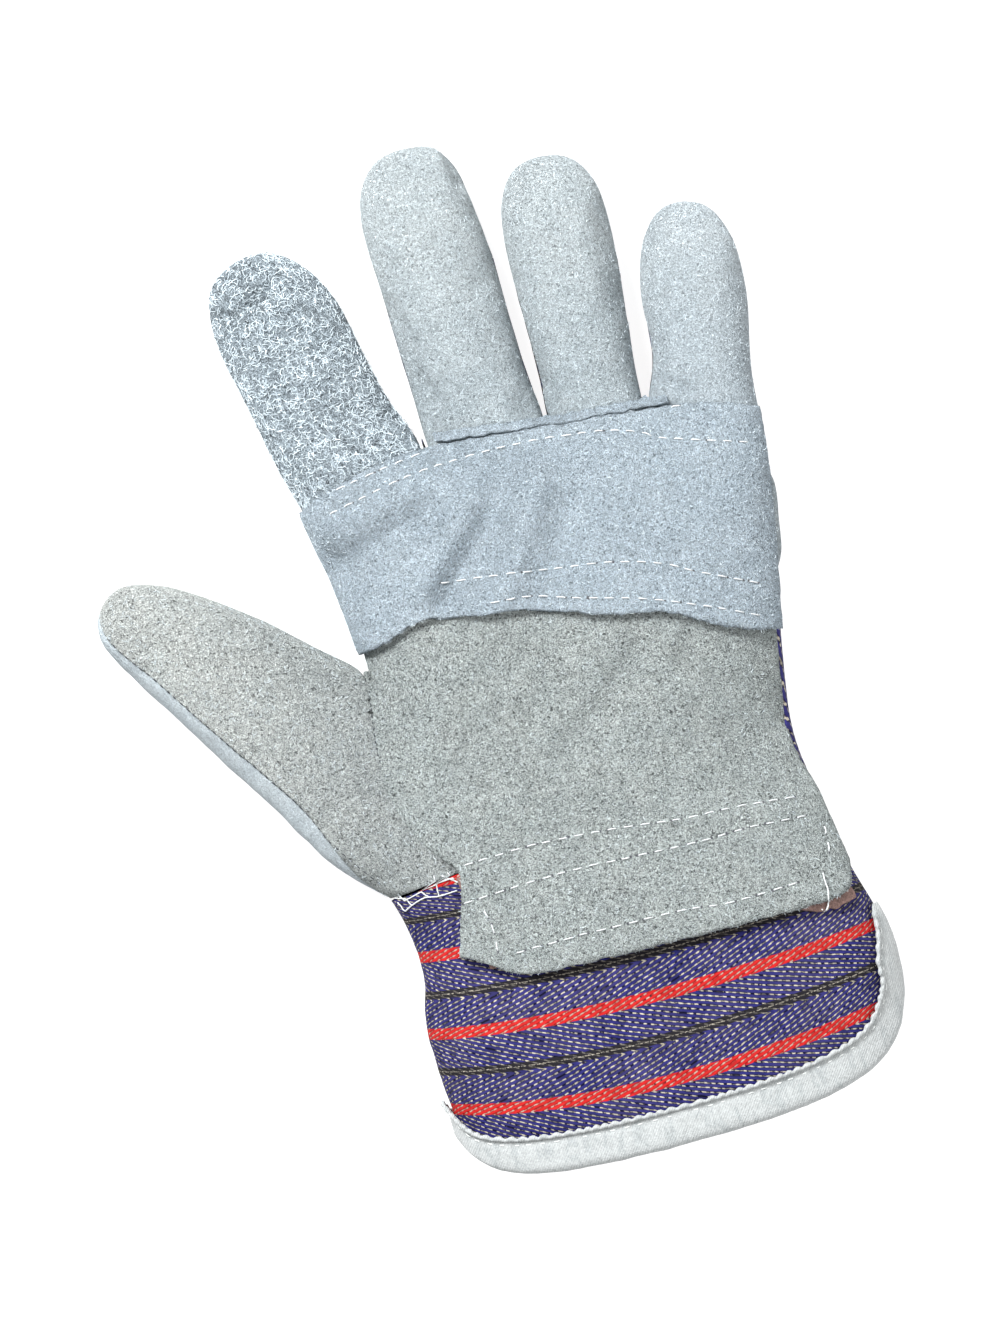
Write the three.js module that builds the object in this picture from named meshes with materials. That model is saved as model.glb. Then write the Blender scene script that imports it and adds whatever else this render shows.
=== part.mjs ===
// A left-hand rigger glove of split leather and striped cotton drill, lying on its back with the palm up.
// Millimetres, +Z up, +Y towards the fingertips, +X towards the little finger.
// The origin lies on the floor under the middle of the knuckle strap.
// Stations along the hand are counted from the wrist seam, and the whole glove is moved at the end.
import * as THREE from "three";

const { lerp, smoothstep, degToRad, clamp } = THREE.MathUtils;

// Lengths along the hand.
const handLength = 110; // wrist seam to the roots of the fingers
const cuffLength = 83; // wrist seam to the hem
const strapWidth = 25; // knuckle strap, measured along the hand
const strapStation = 73; // middle of the knuckle strap
const tongueLength = 30; // how far the palm leather laps over the cuff

// Widths across the hand. The four fingers share the palm's width between them.
const palmWidth = 122;
const cuffWidth = 129.5;
const rootShare = { index: 0.304, middle: 0.28, ring: 0.221, little: 0.246 };
const fingerLength = { index: 70, middle: 80.4, ring: 72.4, little: 59 };
const thumbWidth = 43.5;
const thumbLength = 98.4;

// Heights above the floor.
const hemHeight = 44;
const palmHeight = 35;
const fingerHeight = 23.5;
const thumbHeight = 24.5;

// Thicknesses and clearances.
const leather = 1.4;
const cloth = 1;
const board = 1;
const tape = 0.9;
const tapeWidth = 9;
const seamGap = 0.3; // between pieces that are sewn edge to edge
const layerGap = 0.35; // between pieces that lie on each other
const patchGap = 0.8; // under the palm patch and the welt, which cross the joints of the fingers
const strapGap = 0.75; // under the knuckle strap
const rootGap = 0.8; // between the palm and the fingers, under the palm patch
const weltHeight = 2.4;
const ventOpening = 8; // how far the slit at the little finger's side stands open at the hem
const ventLength = 14; // the slit above the rounded corner of the hem

const halfGap = seamGap / 2;
const strapStack = strapGap + leather;
const tapeGap = 0.65; // between the tape and the cloth that it binds
const tapeStack = tapeGap + tape;
const tongueRaise = layerGap + board + layerGap + leather;

// Where a share is under zero it runs down the cuff, otherwise up the hand.
const station = (share) => share * (share < 0 ? cuffLength : handLength);

// Reads one column of a table of rows {at, ...} along a smooth curve through its rows.
function read(table, name, at) {
  const last = table.length - 1;
  if (at <= table[0].at) return table[0][name];
  if (at >= table[last].at) return table[last][name];
  let row = 0;
  while (table[row + 1].at < at) row += 1;
  const slope = (i) => {
    const before = table[Math.max(i - 1, 0)];
    const after = table[Math.min(i + 1, last)];
    return (after[name] - before[name]) / (after.at - before.at);
  };
  const step = table[row + 1].at - table[row].at;
  const f = (at - table[row].at) / step;
  const [a, b] = [table[row][name], table[row + 1][name]];
  const ease = f * f * (3 - 2 * f);
  return lerp(a, b, ease) + step * f * (1 - f) * (slope(row) * (1 - f) - slope(row + 1) * f);
}

// The side edges of the hand and cuff, seen from above, as shares of half the palm's width or the cuff's.
const handOutline = [
  { along: -1, left: 0.94, right: 0.985, of: cuffWidth },
  { along: -0.72, left: 0.962, right: 0.99, of: cuffWidth },
  { along: -0.56, left: 0.985, right: 0.995, of: cuffWidth },
  { along: -0.43, left: 0.985, right: 0.965, of: cuffWidth },
  { along: -0.3, left: 0.94, right: 0.905, of: cuffWidth },
  { along: -0.16, left: 1.02, right: 0.92, of: palmWidth },
  { along: -0.05, left: 1.065, right: 0.89, of: palmWidth },
  { along: 0.04, left: 1.08, right: 0.873, of: palmWidth },
  { along: 0.15, left: 1.045, right: 0.846, of: palmWidth },
  { along: 0.3, left: 0.99, right: 0.88, of: palmWidth },
  { along: 0.52, left: 0.93, right: 0.942, of: palmWidth },
  { along: 0.6, left: 0.94, right: 0.97, of: palmWidth },
  { along: 0.7, left: 0.96, right: 1.0, of: palmWidth },
  { along: 0.85, left: 1.01, right: 1.035, of: palmWidth },
  { along: 0.95, left: 1.046, right: 1.04, of: palmWidth },
  { along: 1.1, left: 1.08, right: 1.035, of: palmWidth },
].map(({ along, left, right, of }) => (
  { at: station(along), left: (left * of) / 2, right: (right * of) / 2 }
));

// Heights along the hand: the side seams, as a share of the full height there, and that full height.
const handHeights = [
  { along: -1, seam: 0.48, full: hemHeight },
  { along: -0.45, seam: 0.47, full: 0.97 * hemHeight },
  { along: 0, seam: 0.46, full: 1.04 * palmHeight },
  { along: 0.55, seam: 0.43, full: palmHeight },
  { along: 0.85, seam: 0.43, full: 0.86 * palmHeight },
  { along: 1.05, seam: 0.46, full: 1.03 * fingerHeight },
  { along: 1.75, seam: 0.45, full: 0.98 * fingerHeight },
].map(({ along, seam, full }) => ({ at: station(along), seam: seam * full, full }));

// The four fingers stand side by side on the knuckles.
// Root is the station of the finger's middle as a share of the hand's length, and web that of the fork on
// its right.
// Cap is where its rounded end starts, and roundLeft and roundRight tell how square that end is.
const fingers = [
  { name: "index", root: 0.995, web: 1.069, splay: 15.8, lean: 1, cap: 0.68, roundLeft: 2.4, roundRight: 2 },
  { name: "middle", root: 1.051, web: 1.038, splay: 4.5, lean: 1, cap: 0.77, roundLeft: 2, roundRight: 2.9 },
  { name: "ring", root: 1.027, web: 1.022, splay: -1.1, lean: 0.94, cap: 0.72, roundLeft: 2.4, roundRight: 2.4 },
  { name: "little", root: 0.965, web: 0, splay: -7.2, lean: 0.9, cap: 0.57, roundLeft: 2.2, roundRight: 2.2 },
];

// Half widths of each finger to its left and right, as shares of its root width, along its length.
const fingerWidths = {
  index: [
    { at: 0, left: 0.525, right: 0.5 },
    { at: 0.17, left: 0.512, right: 0.472 },
    { at: 0.35, left: 0.492, right: 0.468 },
    { at: 0.6, left: 0.47, right: 0.503 },
    { at: 1, left: 0.462, right: 0.5 },
  ],
  middle: [
    { at: 0, left: 0.472, right: 0.485 },
    { at: 0.23, left: 0.468, right: 0.462 },
    { at: 0.38, left: 0.467, right: 0.49 },
    { at: 0.58, left: 0.455, right: 0.505 },
    { at: 0.76, left: 0.455, right: 0.475 },
    { at: 1, left: 0.455, right: 0.475 },
  ],
  ring: [
    { at: 0, left: 0.475, right: 0.52 },
    { at: 0.15, left: 0.485, right: 0.5 },
    { at: 0.42, left: 0.52, right: 0.55 },
    { at: 0.6, left: 0.553, right: 0.568 },
    { at: 1, left: 0.55, right: 0.568 },
  ],
  little: [
    { at: 0, left: 0.455, right: 0.465 },
    { at: 0.12, left: 0.43, right: 0.475 },
    { at: 0.31, left: 0.412, right: 0.495 },
    { at: 0.52, left: 0.458, right: 0.525 },
    { at: 0.65, left: 0.48, right: 0.52 },
    { at: 1, left: 0.488, right: 0.52 },
  ],
};

// The thumb starts at the side of the palm. Its root and the ends of its seam are shares of half the palm's
// width and of the hand's length, and its half widths are shares of its own width.
const thumbPlace = { across: -0.9, along: 0.207, splay: 43.2, cap: 0.86, round: 2.3 };
const thumbWidths = [
  { at: 0, left: 0.612, right: 0.55 },
  { at: 0.12, left: 0.575, right: 0.53 },
  { at: 0.25, left: 0.52, right: 0.502 },
  { at: 0.37, left: 0.481, right: 0.48 },
  { at: 0.5, left: 0.44, right: 0.478 },
  { at: 0.62, left: 0.392, right: 0.447 },
  { at: 0.74, left: 0.344, right: 0.39 },
  { at: 0.83, left: 0.298, right: 0.33 },
  { at: 0.92, left: 0.275, right: 0.265 },
  { at: 1, left: 0.255, right: 0.225 },
];

// A limb is a straight tapered tube with a rounded end. It has a root, a direction, half widths and a rise
// over its seams.
function makeLimb(root, splay, length, width, widths, capStart, roundLeft, roundRight, rise, reach) {
  const angle = degToRad(splay);
  const along = new THREE.Vector2(-Math.sin(angle), Math.cos(angle));
  const across = new THREE.Vector2(Math.cos(angle), Math.sin(angle));
  const capShare = (t) => clamp((t / length - capStart) / (1 - capStart), 0, 1);
  const ends = (t, round) => (1 - capShare(t) ** round) ** (1 / round);
  const flares = {};
  const flareReach = 0.18 * length;
  const half = (t, right) => {
    const side = right ? "right" : "left";
    const { at, by } = flares[side] ?? { at: 0, by: 0 };
    const flare = by * (1 - smoothstep(t, at, at + flareReach));
    return (width * read(widths, side, t / length) + flare) * ends(t, right ? roundRight : roundLeft);
  };
  const tail = (t) => Math.sqrt(Math.max(1 - Math.min(t / reach, 0) ** 2, 0));
  const lift = (t) => rise * ends(t, 2.4) * tail(t);
  const edge = (t, right) => root.clone().addScaledVector(along, t)
    .addScaledVector(across, (right ? 1 : -1) * half(t, right));
  // Widens or narrows one side near its root, so that its edge runs through a given point.
  const flareTo = (point, right) => {
    const t = point.clone().sub(root).dot(along);
    const by = point.clone().sub(edge(t, right)).dot(across) * (right ? 1 : -1);
    flares[right ? "right" : "left"] = { at: t, by };
    return t;
  };
  return { root, along, across, length, capStart: capStart * length, half, lift, edge, flareTo };
}

let edgeX = -0.531 * palmWidth; // the thumb's side of the index finger's root
for (const finger of fingers) {
  const width = rootShare[finger.name] * palmWidth;
  finger.leftX = edgeX;
  finger.rightX = edgeX + width;
  edgeX += width;
  const root = new THREE.Vector2((finger.leftX + finger.rightX) / 2, finger.root * handLength);
  const rise = 0.54 * fingerHeight * finger.lean;
  finger.limb = makeLimb(root, finger.splay, fingerLength[finger.name], width, fingerWidths[finger.name],
    finger.cap, finger.roundLeft, finger.roundRight, rise, 0.4 * handLength);
}
const thumbRoot = new THREE.Vector2((thumbPlace.across * palmWidth) / 2, thumbPlace.along * handLength);
const thumb = makeLimb(thumbRoot, thumbPlace.splay, thumbLength, thumbWidth, thumbWidths,
  thumbPlace.cap, thumbPlace.round, thumbPlace.round, 0.55 * thumbHeight, 0.42 * handLength);

// The line through the forks between the fingers, where the palm and the back close on each other.
const webLine = [
  { at: fingers[0].leftX, y: 1.02 * handLength },
  { at: fingers[0].rightX, y: fingers[0].web * handLength },
  { at: fingers[1].rightX, y: fingers[1].web * handLength },
  { at: fingers[2].rightX, y: fingers[2].web * handLength },
  { at: fingers[3].rightX, y: 0.97 * handLength },
];
const webAt = (x) => read(webLine, "y", x);

// Creases pressed into the palm side. From and to are shares of half the palm's width and of the hand's
// length, depth is a share of the palm's height and width a share of the palm's.
const creases = [
  { name: "index tip", from: [-1.19, 1.465], to: [-0.99, 1.495], depth: 0.046, width: 0.033 },
  { name: "thumb tip", from: [-1.85, 0.715], to: [-1.81, 0.6], depth: 0.051, width: 0.041 },
  { name: "little root", from: [0.6, 1.06], to: [0.76, 1.0], depth: 0.043, width: 0.033 },
  { name: "thumb fork", from: [-0.91, 0.54], to: [-0.8, 0.44], depth: 0.051, width: 0.041 },
  { name: "thumb seam", from: [-0.98, 0.36], to: [-0.9, 0.1], depth: 0.040, width: 0.049 },
  { name: "heel of the hand", from: [0.35, 0.13], to: [0.8, 0.2], depth: 0.034, width: 0.074 },
  { name: "middle of the palm", from: [-0.45, 0.72], to: [-0.3, 0.2], depth: 0.040, width: 0.090 },
].map(({ from, to, depth, width }) => ({
  line: new THREE.Line3(
    new THREE.Vector3((from[0] * palmWidth) / 2, from[1] * handLength, 0),
    new THREE.Vector3((to[0] * palmWidth) / 2, to[1] * handLength, 0)),
  depth: depth * palmHeight,
  width: width * palmWidth,
}));

const handHalf = (s, right) => read(handOutline, right ? "right" : "left", s);
const plan = (x, y) => new THREE.Vector2(x, y);

// The upper edge of the cuff. It sinks a little towards the thumb.
const cuffTop = (x) => cuffLength * (0.012 - 0.047 * smoothstep(-x, 0.35 * palmWidth, 0.53 * palmWidth));

// Where each finger's edges join the fork beside it, or the hand's own side edge.
fingers.forEach((finger, index) => {
  finger.joins = [false, true].map((right) => {
    const outer = right ? index === fingers.length - 1 : index === 0;
    const web = fingers[right ? index : index - 1]?.web * handLength;
    const y = outer ? finger.limb.edge(0, right).y : web;
    const sign = right ? 1 : -1;
    const x = outer ? sign * handHalf(y, right) : (right ? finger.rightX : finger.leftX) - sign * halfGap;
    return { outer, x, y, t: finger.limb.flareTo(plan(x, y), right) };
  });
});

// The thumb's upper edge joins the fork, and its lower edge starts at the cuff.
const fork = { x: (-0.928 * palmWidth) / 2, y: 0.543 * handLength };
const thumbWrist = cuffTop(-palmWidth) + seamGap;
const thumbJoins = {
  right: thumb.flareTo(plan(fork.x - halfGap, fork.y), true),
  left: thumb.flareTo(plan(-handHalf(thumbWrist, false), thumbWrist), false),
};
const thumbStation = (x, y) => new THREE.Vector2(x, y).sub(thumb.root).dot(thumb.along);

// How far a point lies out on the thumb, from 0 on the hand to 1 well outside the hand's own side edge.
const onThumb = (x, y, from, to) => smoothstep((-x - handHalf(y, false)) / thumbWidth, from, to);

// The height of the side seams over a point of the plan. Out along the thumb it sinks to the thumb's own.
function seamHeight(x, y) {
  const away = smoothstep(thumbStation(x, y), 0.05 * thumbLength, 0.5 * thumbLength);
  return lerp(read(handHeights, "seam", y), 0.45 * thumbHeight, onThumb(x, y, -0.18, 0.18) * away);
}

// How high the back is held over the floor by what lies under it: the strap, the tape at the hem, or nothing.
function underlay(x, y) {
  const hem = lerp(tapeStack, strapStack, smoothstep(y, -0.8 * cuffLength, -0.6 * cuffLength));
  const fingersOnFloor = smoothstep(y, 0.84 * handLength, handLength);
  return hem * (1 - Math.max(fingersOnFloor, onThumb(x, y, 0, 0.23)));
}

// How far a tube's section rises at a share across it, from 0 at its middle to 1 at its side.
const bulge = (share, power) => Math.sqrt(Math.max(1 - Math.abs(share) ** power, 0));
const palmPower = 2.2;
const backPower = 4;
const overPress = 0.8; // the back is pressed flat where its own bulge would reach below the floor
const blend = 3; // tubes melt into each other as the root of the sum of these powers

// The section of every tube at a point of the plan: its share across, how much of it is left there, its rise.
function tubesAt(x, y) {
  const capStart = 0.8 * handLength;
  const tau = clamp((y - capStart) / (webAt(x) - capStart), 0, 1);
  const fade = Math.sqrt(1 - tau * tau);
  const full = read(handHeights, "full", Math.min(y, capStart));
  const seam = read(handHeights, "seam", Math.min(y, capStart));
  const found = [{ share: x / handHalf(y, x > 0), fade, rise: (full - seam) * fade }];
  for (const limb of [...fingers.map((finger) => finger.limb), thumb]) {
    const from = new THREE.Vector2(x, y).sub(limb.root);
    const t = from.dot(limb.along);
    const w = from.dot(limb.across);
    const half = limb.half(t, w > 0);
    if (t < limb.length && half > 1e-6 && limb.lift(t) > 0)
      found.push({ share: w / half, fade: limb.lift(t) / limb.lift(0), rise: limb.lift(t) });
  }
  return found;
}

function palmSide(x, y) {
  const sum = tubesAt(x, y)
    .reduce((all, { share, rise }) => all + (rise * bulge(share, palmPower)) ** blend, 0);
  const rise = sum ** (1 / blend);
  const point = new THREE.Vector3(x, y, 0);
  const near = new THREE.Vector3();
  const dent = creases.reduce((all, { line, depth, width }) => {
    const away = line.closestPointToPoint(point, true, near).distanceTo(point);
    return all + depth * Math.exp(-((away / width) ** 2));
  }, 0);
  return seamHeight(x, y) + Math.max(rise - dent * smoothstep(rise / palmHeight, 0.06, 0.34), 0);
}

function backSide(x, y) {
  const low = underlay(x, y);
  const seam = seamHeight(x, y);
  const depth = seam - low + overPress;
  const sum = tubesAt(x, y)
    .reduce((all, { share, fade }) => all + (depth * fade * bulge(share, backPower)) ** blend, 0);
  return Math.max(seam - sum ** (1 / blend), low);
}

// A point of the glove's skin over the plan, with the direction that leads out of it.
function skin(x, y, back) {
  const height = back ? backSide : palmSide;
  const step = 0.04;
  const slopeX = (height(x + step, y) - height(x - step, y)) / (2 * step);
  const slopeY = (height(x, y + step) - height(x, y - step)) / (2 * step);
  const out = back ? new THREE.Vector3(slopeX, slopeY, -1) : new THREE.Vector3(-slopeX, -slopeY, 1);
  return { point: new THREE.Vector3(x, y, height(x, y)), out: out.normalize() };
}

// A point on the side seam, with a level direction out of it.
function seamPoint(x, y, outward, offset) {
  return {
    point: new THREE.Vector3(x, y, seamHeight(x, y) + offset),
    out: new THREE.Vector3(outward.x, outward.y, 0).normalize(),
  };
}

const raised = ({ point, out }, by) => ({ point: point.clone().addScaledVector(out, by), out });

// A closed wall from rows of skin points: the outer face runs through them and the inner face lies behind it.
// Rows run away from the wrist, each from the little finger's side to the thumb's.
function wall(rows, thickness, flipped = false) {
  const corners = [];
  const positions = [];
  for (const depth of [0, thickness])
    corners.push(rows.map((row) => row.map(({ point, out }) => {
      const place = point.clone().addScaledVector(out, -depth);
      positions.push(place.x, place.y, place.z);
      return positions.length / 3 - 1;
    })));
  const faces = [];
  const same = (a, b) => [0, 1, 2].every((k) => Math.abs(positions[3 * a + k] - positions[3 * b + k]) < 1e-4);
  const triangle = (a, b, c) => {
    if (!same(a, b) && !same(b, c) && !same(c, a)) faces.push(...(flipped ? [a, c, b] : [a, b, c]));
  };
  const quad = (a, b, c, d) => {
    triangle(a, b, c);
    triangle(a, c, d);
  };
  const [outer, inner] = corners;
  const lastRow = rows.length - 1;
  const lastColumn = rows[0].length - 1;
  for (let v = 0; v < lastRow; v += 1)
    for (let u = 0; u < lastColumn; u += 1) {
      quad(outer[v][u], outer[v + 1][u], outer[v + 1][u + 1], outer[v][u + 1]);
      quad(inner[v][u], inner[v][u + 1], inner[v + 1][u + 1], inner[v + 1][u]);
    }
  for (let u = 0; u < lastColumn; u += 1) {
    quad(outer[0][u], outer[0][u + 1], inner[0][u + 1], inner[0][u]);
    quad(outer[lastRow][u], inner[lastRow][u], inner[lastRow][u + 1], outer[lastRow][u + 1]);
  }
  for (let v = 0; v < lastRow; v += 1) {
    quad(outer[v][0], inner[v][0], inner[v + 1][0], outer[v + 1][0]);
    quad(outer[v][lastColumn], outer[v + 1][lastColumn], inner[v + 1][lastColumn], inner[v][lastColumn]);
  }
  const geometry = new THREE.BufferGeometry();
  geometry.setAttribute("position", new THREE.Float32BufferAttribute(positions, 3));
  geometry.setIndex(faces);
  return geometry;
}

const shares = (count) => Array.from({ length: count + 1 }, (_, i) => i / count);
const levelSine = 1e-6;

// The plan outline of the hand at an angle round its section: 0 is the little finger's side, 90 the palm's
// middle, 180 the thumb's side and -90 the middle of the back.
const handX = (angle, s) => handHalf(s, Math.cos(angle) > 0) * Math.cos(angle);
const handAngle = (x, s) => Math.acos(clamp(x / handHalf(s, x > 0), -1, 1));

function handPoint(angle, s, offset = 0) {
  const x = handX(angle, s);
  if (Math.abs(Math.sin(angle)) < levelSine) return seamPoint(x, s, plan(Math.sign(x), 0), offset);
  return skin(x, s, Math.sin(angle) < 0);
}

// On the little finger's side the back's edge is drawn round onto the palm side, and ends at this angle.
const wrapAngle = degToRad(14);
const sideWrap = (s) => wrapAngle * (1 - smoothstep(s, 0.72 * handLength, 0.87 * handLength));
const wrapGap = halfGap / (palmHeight / 2);

// The line on which the palm meets the finger fronts, and the one on which the back meets the finger backs.
const rootLine = (x) => handLength * (0.985 - 0.33 * ((x + 0.13 * palmWidth / 2) / palmWidth) ** 2);
const backLine = () => strapStation;

// The seam between the palm and the thumb, from the corner of the tongue up to the fork.
const thumbSeam = new THREE.SplineCurve([
  plan(-0.712, 0.036), plan(-0.877, 0.104), plan(-0.962, 0.225), plan(-0.968, 0.35), plan(-0.945, 0.45),
].map((p) => plan((p.x * palmWidth) / 2, p.y * handLength)).concat(plan(fork.x, fork.y)));

// A sheet on the hand. Each row gives the angle and station of its right and left ends, and how much of the
// bows at the sheet's lower and upper edge it takes on.
function handSheet(rows, columns, lowBow, highBow, lift = () => 0) {
  return rows.map((row) => shares(columns).map((u) => {
    const angle = lerp(row.rightAngle, row.leftAngle, u);
    let s = lerp(row.right, row.left, u);
    const x = handX(angle, s);
    s += (row.low ?? 0) * lowBow(u, x, s) + (row.high ?? 0) * highBow(u, x, s);
    const ends = (u === 0 || u === 1) && Math.abs(Math.sin(angle)) < levelSine;
    const offset = ends ? halfGap * (Math.sin((row.rightAngle + row.leftAngle) / 2) < 0 ? -1 : 1) : 0;
    return raised(handPoint(angle, s, offset), lift(s));
  }));
}

const flat = () => 0;

// The direction out of a limb's side edge, turned towards its end as the edge goes round it.
const outwardOf = (limb, sign, turn) =>
  limb.across.clone().multiplyScalar(sign * Math.cos(turn)).addScaledVector(limb.along, Math.sin(turn));

// The edges of a finger as seen from above. Zone root runs from the hand's line up to the fork, or along the
// hand's own side, zone tube from there to where the end is rounded, and zone cap round the end.
function fingerSide(index, right, line) {
  const { limb, joins } = fingers[index];
  const { outer, x, y: joinY, t: joinT } = joins[right ? 1 : 0];
  const sign = right ? 1 : -1;
  const at = (zone, f) => {
    if (zone === "root") {
      const y = lerp(line(x), joinY, f);
      return plan(outer ? sign * handHalf(y, right) : x, y);
    }
    if (zone === "tube") return limb.edge(lerp(joinT, limb.capStart, f), right);
    return limb.edge(lerp(limb.capStart, limb.length, Math.sin((f * Math.PI) / 2)), right);
  };
  const outward = (zone, f) => {
    if (zone === "root") return plan(sign, 0);
    const turn = zone === "cap" ? (f * Math.PI) / 2 : 0;
    return outwardOf(limb, sign, turn);
  };
  const sewn = (zone, f) => outer || zone !== "root" || f > 0.999;
  return { at, outward, sewn };
}

// A row of skin points across a limb between its two edges, from angle to angle as on the hand.
function limbRow(rightSide, leftSide, zone, f, angles, line = flat) {
  const ends = [rightSide.at(zone, f), leftSide.at(zone, f)];
  const back = Math.sin((angles[0] + angles.at(-1)) / 2) < 0;
  return angles.map((angle, column) => {
    const share = (1 - Math.cos(angle)) / 2;
    const spot = ends[0].clone().lerp(ends[1], share);
    const offset = halfGap * (back ? -1 : 1);
    if (zone === "cap" && f === 1) return seamPoint(spot.x, spot.y, rightSide.outward(zone, f), offset);
    if (zone === "root") spot.y += (1 - f) * (line(spot.x) - lerp(line(ends[0].x), line(ends[1].x), share));
    if (Math.abs(Math.sin(angle)) > levelSine) return skin(spot.x, spot.y, Math.sin(angle) < 0);
    const side = Math.cos(angle) > 0 ? rightSide : leftSide;
    const last = column === 0 || column === angles.length - 1;
    if (!side.sewn(zone, f)) return skin(spot.x, spot.y, back);
    return seamPoint(spot.x, spot.y, side.outward(zone, f), last ? offset : 0);
  });
}

const angleSteps = (from, to, count) => shares(count).map((u) => lerp(from, to, u));

// The rows of a finger's panel: each entry is a zone and a share of it.
const zoneRows = (zone, from, to, count) => shares(count).map((u) => [zone, lerp(from, to, u)]);

function fingerPanel(index, back, line, stations, columns) {
  const rightSide = fingerSide(index, true, line);
  const leftSide = fingerSide(index, false, line);
  const outerRight = index === fingers.length - 1;
  return stations.map(([zone, f]) => {
    const wrap = back && outerRight && zone === "root" ? sideWrap(rightSide.at(zone, f).y) : 0;
    const start = Math.max(wrap - wrapGap, 0);
    const angles = angleSteps(start, back ? -Math.PI : Math.PI, columns);
    return limbRow(rightSide, leftSide, zone, f, angles, line);
  });
}

// The thumb's edges: on the palm's side the seam and then the tube, on the outer side the tube all the way.
const stripWrap = degToRad(43); // the thumb's back strip shows on the palm side up to this angle
const stripGap = halfGap / (thumbHeight / 2);
const thumbForkLeft = 0.22 * thumbLength;

function thumbSide(right) {
  const tubeStart = right ? thumbJoins.right : thumbForkLeft;
  const at = (zone, f) => {
    if (zone === "cap")
      return thumb.edge(lerp(thumb.capStart, thumb.length, Math.sin((f * Math.PI) / 2)), right);
    if (zone === "tube") return thumb.edge(lerp(tubeStart, thumb.capStart, f), right);
    if (!right) return thumb.edge(lerp(thumbJoins.left, thumbForkLeft, f), right);
    const spot = thumbSeam.getPoint(f);
    return plan(spot.x - halfGap, f === 0 ? cuffTop(spot.x) + seamGap : spot.y);
  };
  const outward = (zone, f) => {
    const turn = zone === "cap" ? (f * Math.PI) / 2 : 0;
    const sign = right ? 1 : -1;
    return outwardOf(thumb, sign, turn);
  };
  const sewn = (zone, f) => !right || zone !== "root" || f > 0.999;
  return { at, outward, sewn };
}

const seamSteps = 6; // rows along the thumb's seam, in the palm, the back and the thumb alike
function thumbPanel(back, columns) {
  const [rightSide, leftSide] = [thumbSide(true), thumbSide(false)];
  const stations = [
    ...zoneRows("root", 0, 1, seamSteps),
    ...zoneRows("tube", 0, 1, 5).slice(1),
    ...zoneRows("cap", 0, 1, 3).slice(1),
  ];
  return stations.map(([zone, f]) => {
    const ends = zone === "cap" ? 1 - 0.5 * f : zone === "root" ? smoothstep(f, 0, 0.6) : 1;
    const strip = stripWrap * ends;
    const angles = back
      ? angleSteps(0, -Math.PI - Math.max(strip - stripGap, 0.02), columns)
      : angleSteps(0, Math.PI - Math.max(strip + stripGap, 0.06), columns);
    return limbRow(rightSide, leftSide, zone, f, angles);
  });
}

// The palm leather: the tongue over the cuff, the palm itself, and its upper end under the palm patch.
const tongueSide = [
  { left: -0.26, right: -0.253, edge: -0.8 },
  { left: -0.14, right: -0.15, edge: -0.768 },
  { left: -0.045, right: -0.06, edge: -0.735 },
  { left: 0.018, right: 0.018, edge: -0.713 },
];
function palmRows() {
  const tongue = tongueSide.map(({ left, right, edge }, i) => {
    const s = left < 0 ? left * cuffLength : left * handLength;
    return {
      left: s,
      right: right < 0 ? right * cuffLength : right * handLength,
      leftAngle: handAngle((edge * palmWidth) / 2, s),
      low: [1, 0.5, 0.15, 0][i],
    };
  });
  const seamRows = shares(seamSteps).slice(1).map((f) => {
    const spot = thumbSeam.getPoint(f);
    const leftAngle = handAngle(spot.x + halfGap, spot.y);
    return { left: spot.y, right: lerp(0.018, 0.55, f) * handLength, leftAngle };
  });
  const top = rootLine(fingers[0].leftX) - rootGap / 2;
  const rightTop = rootLine(fingers[3].rightX) - rootGap / 2;
  const sideRows = shares(4).slice(1).map((f) => ({
    left: lerp(fork.y, top, f),
    right: lerp(0.55 * handLength, rightTop, f),
    leftAngle: Math.PI,
    high: f ** 2,
  }));
  const corner = { left: fork.y + 1.2, right: 0.57 * handLength, leftAngle: Math.PI };
  return [...tongue, ...seamRows, corner, ...sideRows].map((row) => {
    const wrap = sideWrap(row.right);
    return { ...row, rightAngle: wrap > 0 ? wrap + wrapGap : 0 };
  });
}
// The tongue's corners are rounded: its lower edge bows down between them.
const tongueEdge = (u) => {
  const corners = smoothstep(u, 0, 0.09) * smoothstep(1 - u, 0, 0.17);
  return -(tongueLength - 0.255 * cuffLength) * corners;
};
const tongueLift = (s) => tongueRaise * (1 - smoothstep(s / tongueLength, 0.03, 0.31));

// The patch over the palm's upper half, with its upper and its scalloped lower edge.
const patchTop = [
  { at: -1.06, y: 0.955 }, { at: -0.86, y: 0.992 }, { at: -0.66, y: 1.016 }, { at: -0.43, y: 1.028 },
  { at: -0.2, y: 1.019 }, { at: 0.1, y: 1.003 }, { at: 0.38, y: 0.996 }, { at: 0.65, y: 0.986 },
  { at: 0.8, y: 0.98 }, { at: 1.04, y: 0.938 },
];
const patchBottom = [
  { at: -0.94, y: 0.578 }, { at: -0.8, y: 0.592 }, { at: -0.68, y: 0.619 }, { at: -0.56, y: 0.626 },
  { at: -0.34, y: 0.596 }, { at: -0.16, y: 0.594 }, { at: 0.09, y: 0.541 }, { at: 0.3, y: 0.519 },
  { at: 0.43, y: 0.505 }, { at: 0.56, y: 0.468 }, { at: 0.72, y: 0.428 }, { at: 0.9, y: 0.402 },
];
const edgeAt = (table, x) => read(table, "y", x / (palmWidth / 2)) * handLength;

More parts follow.
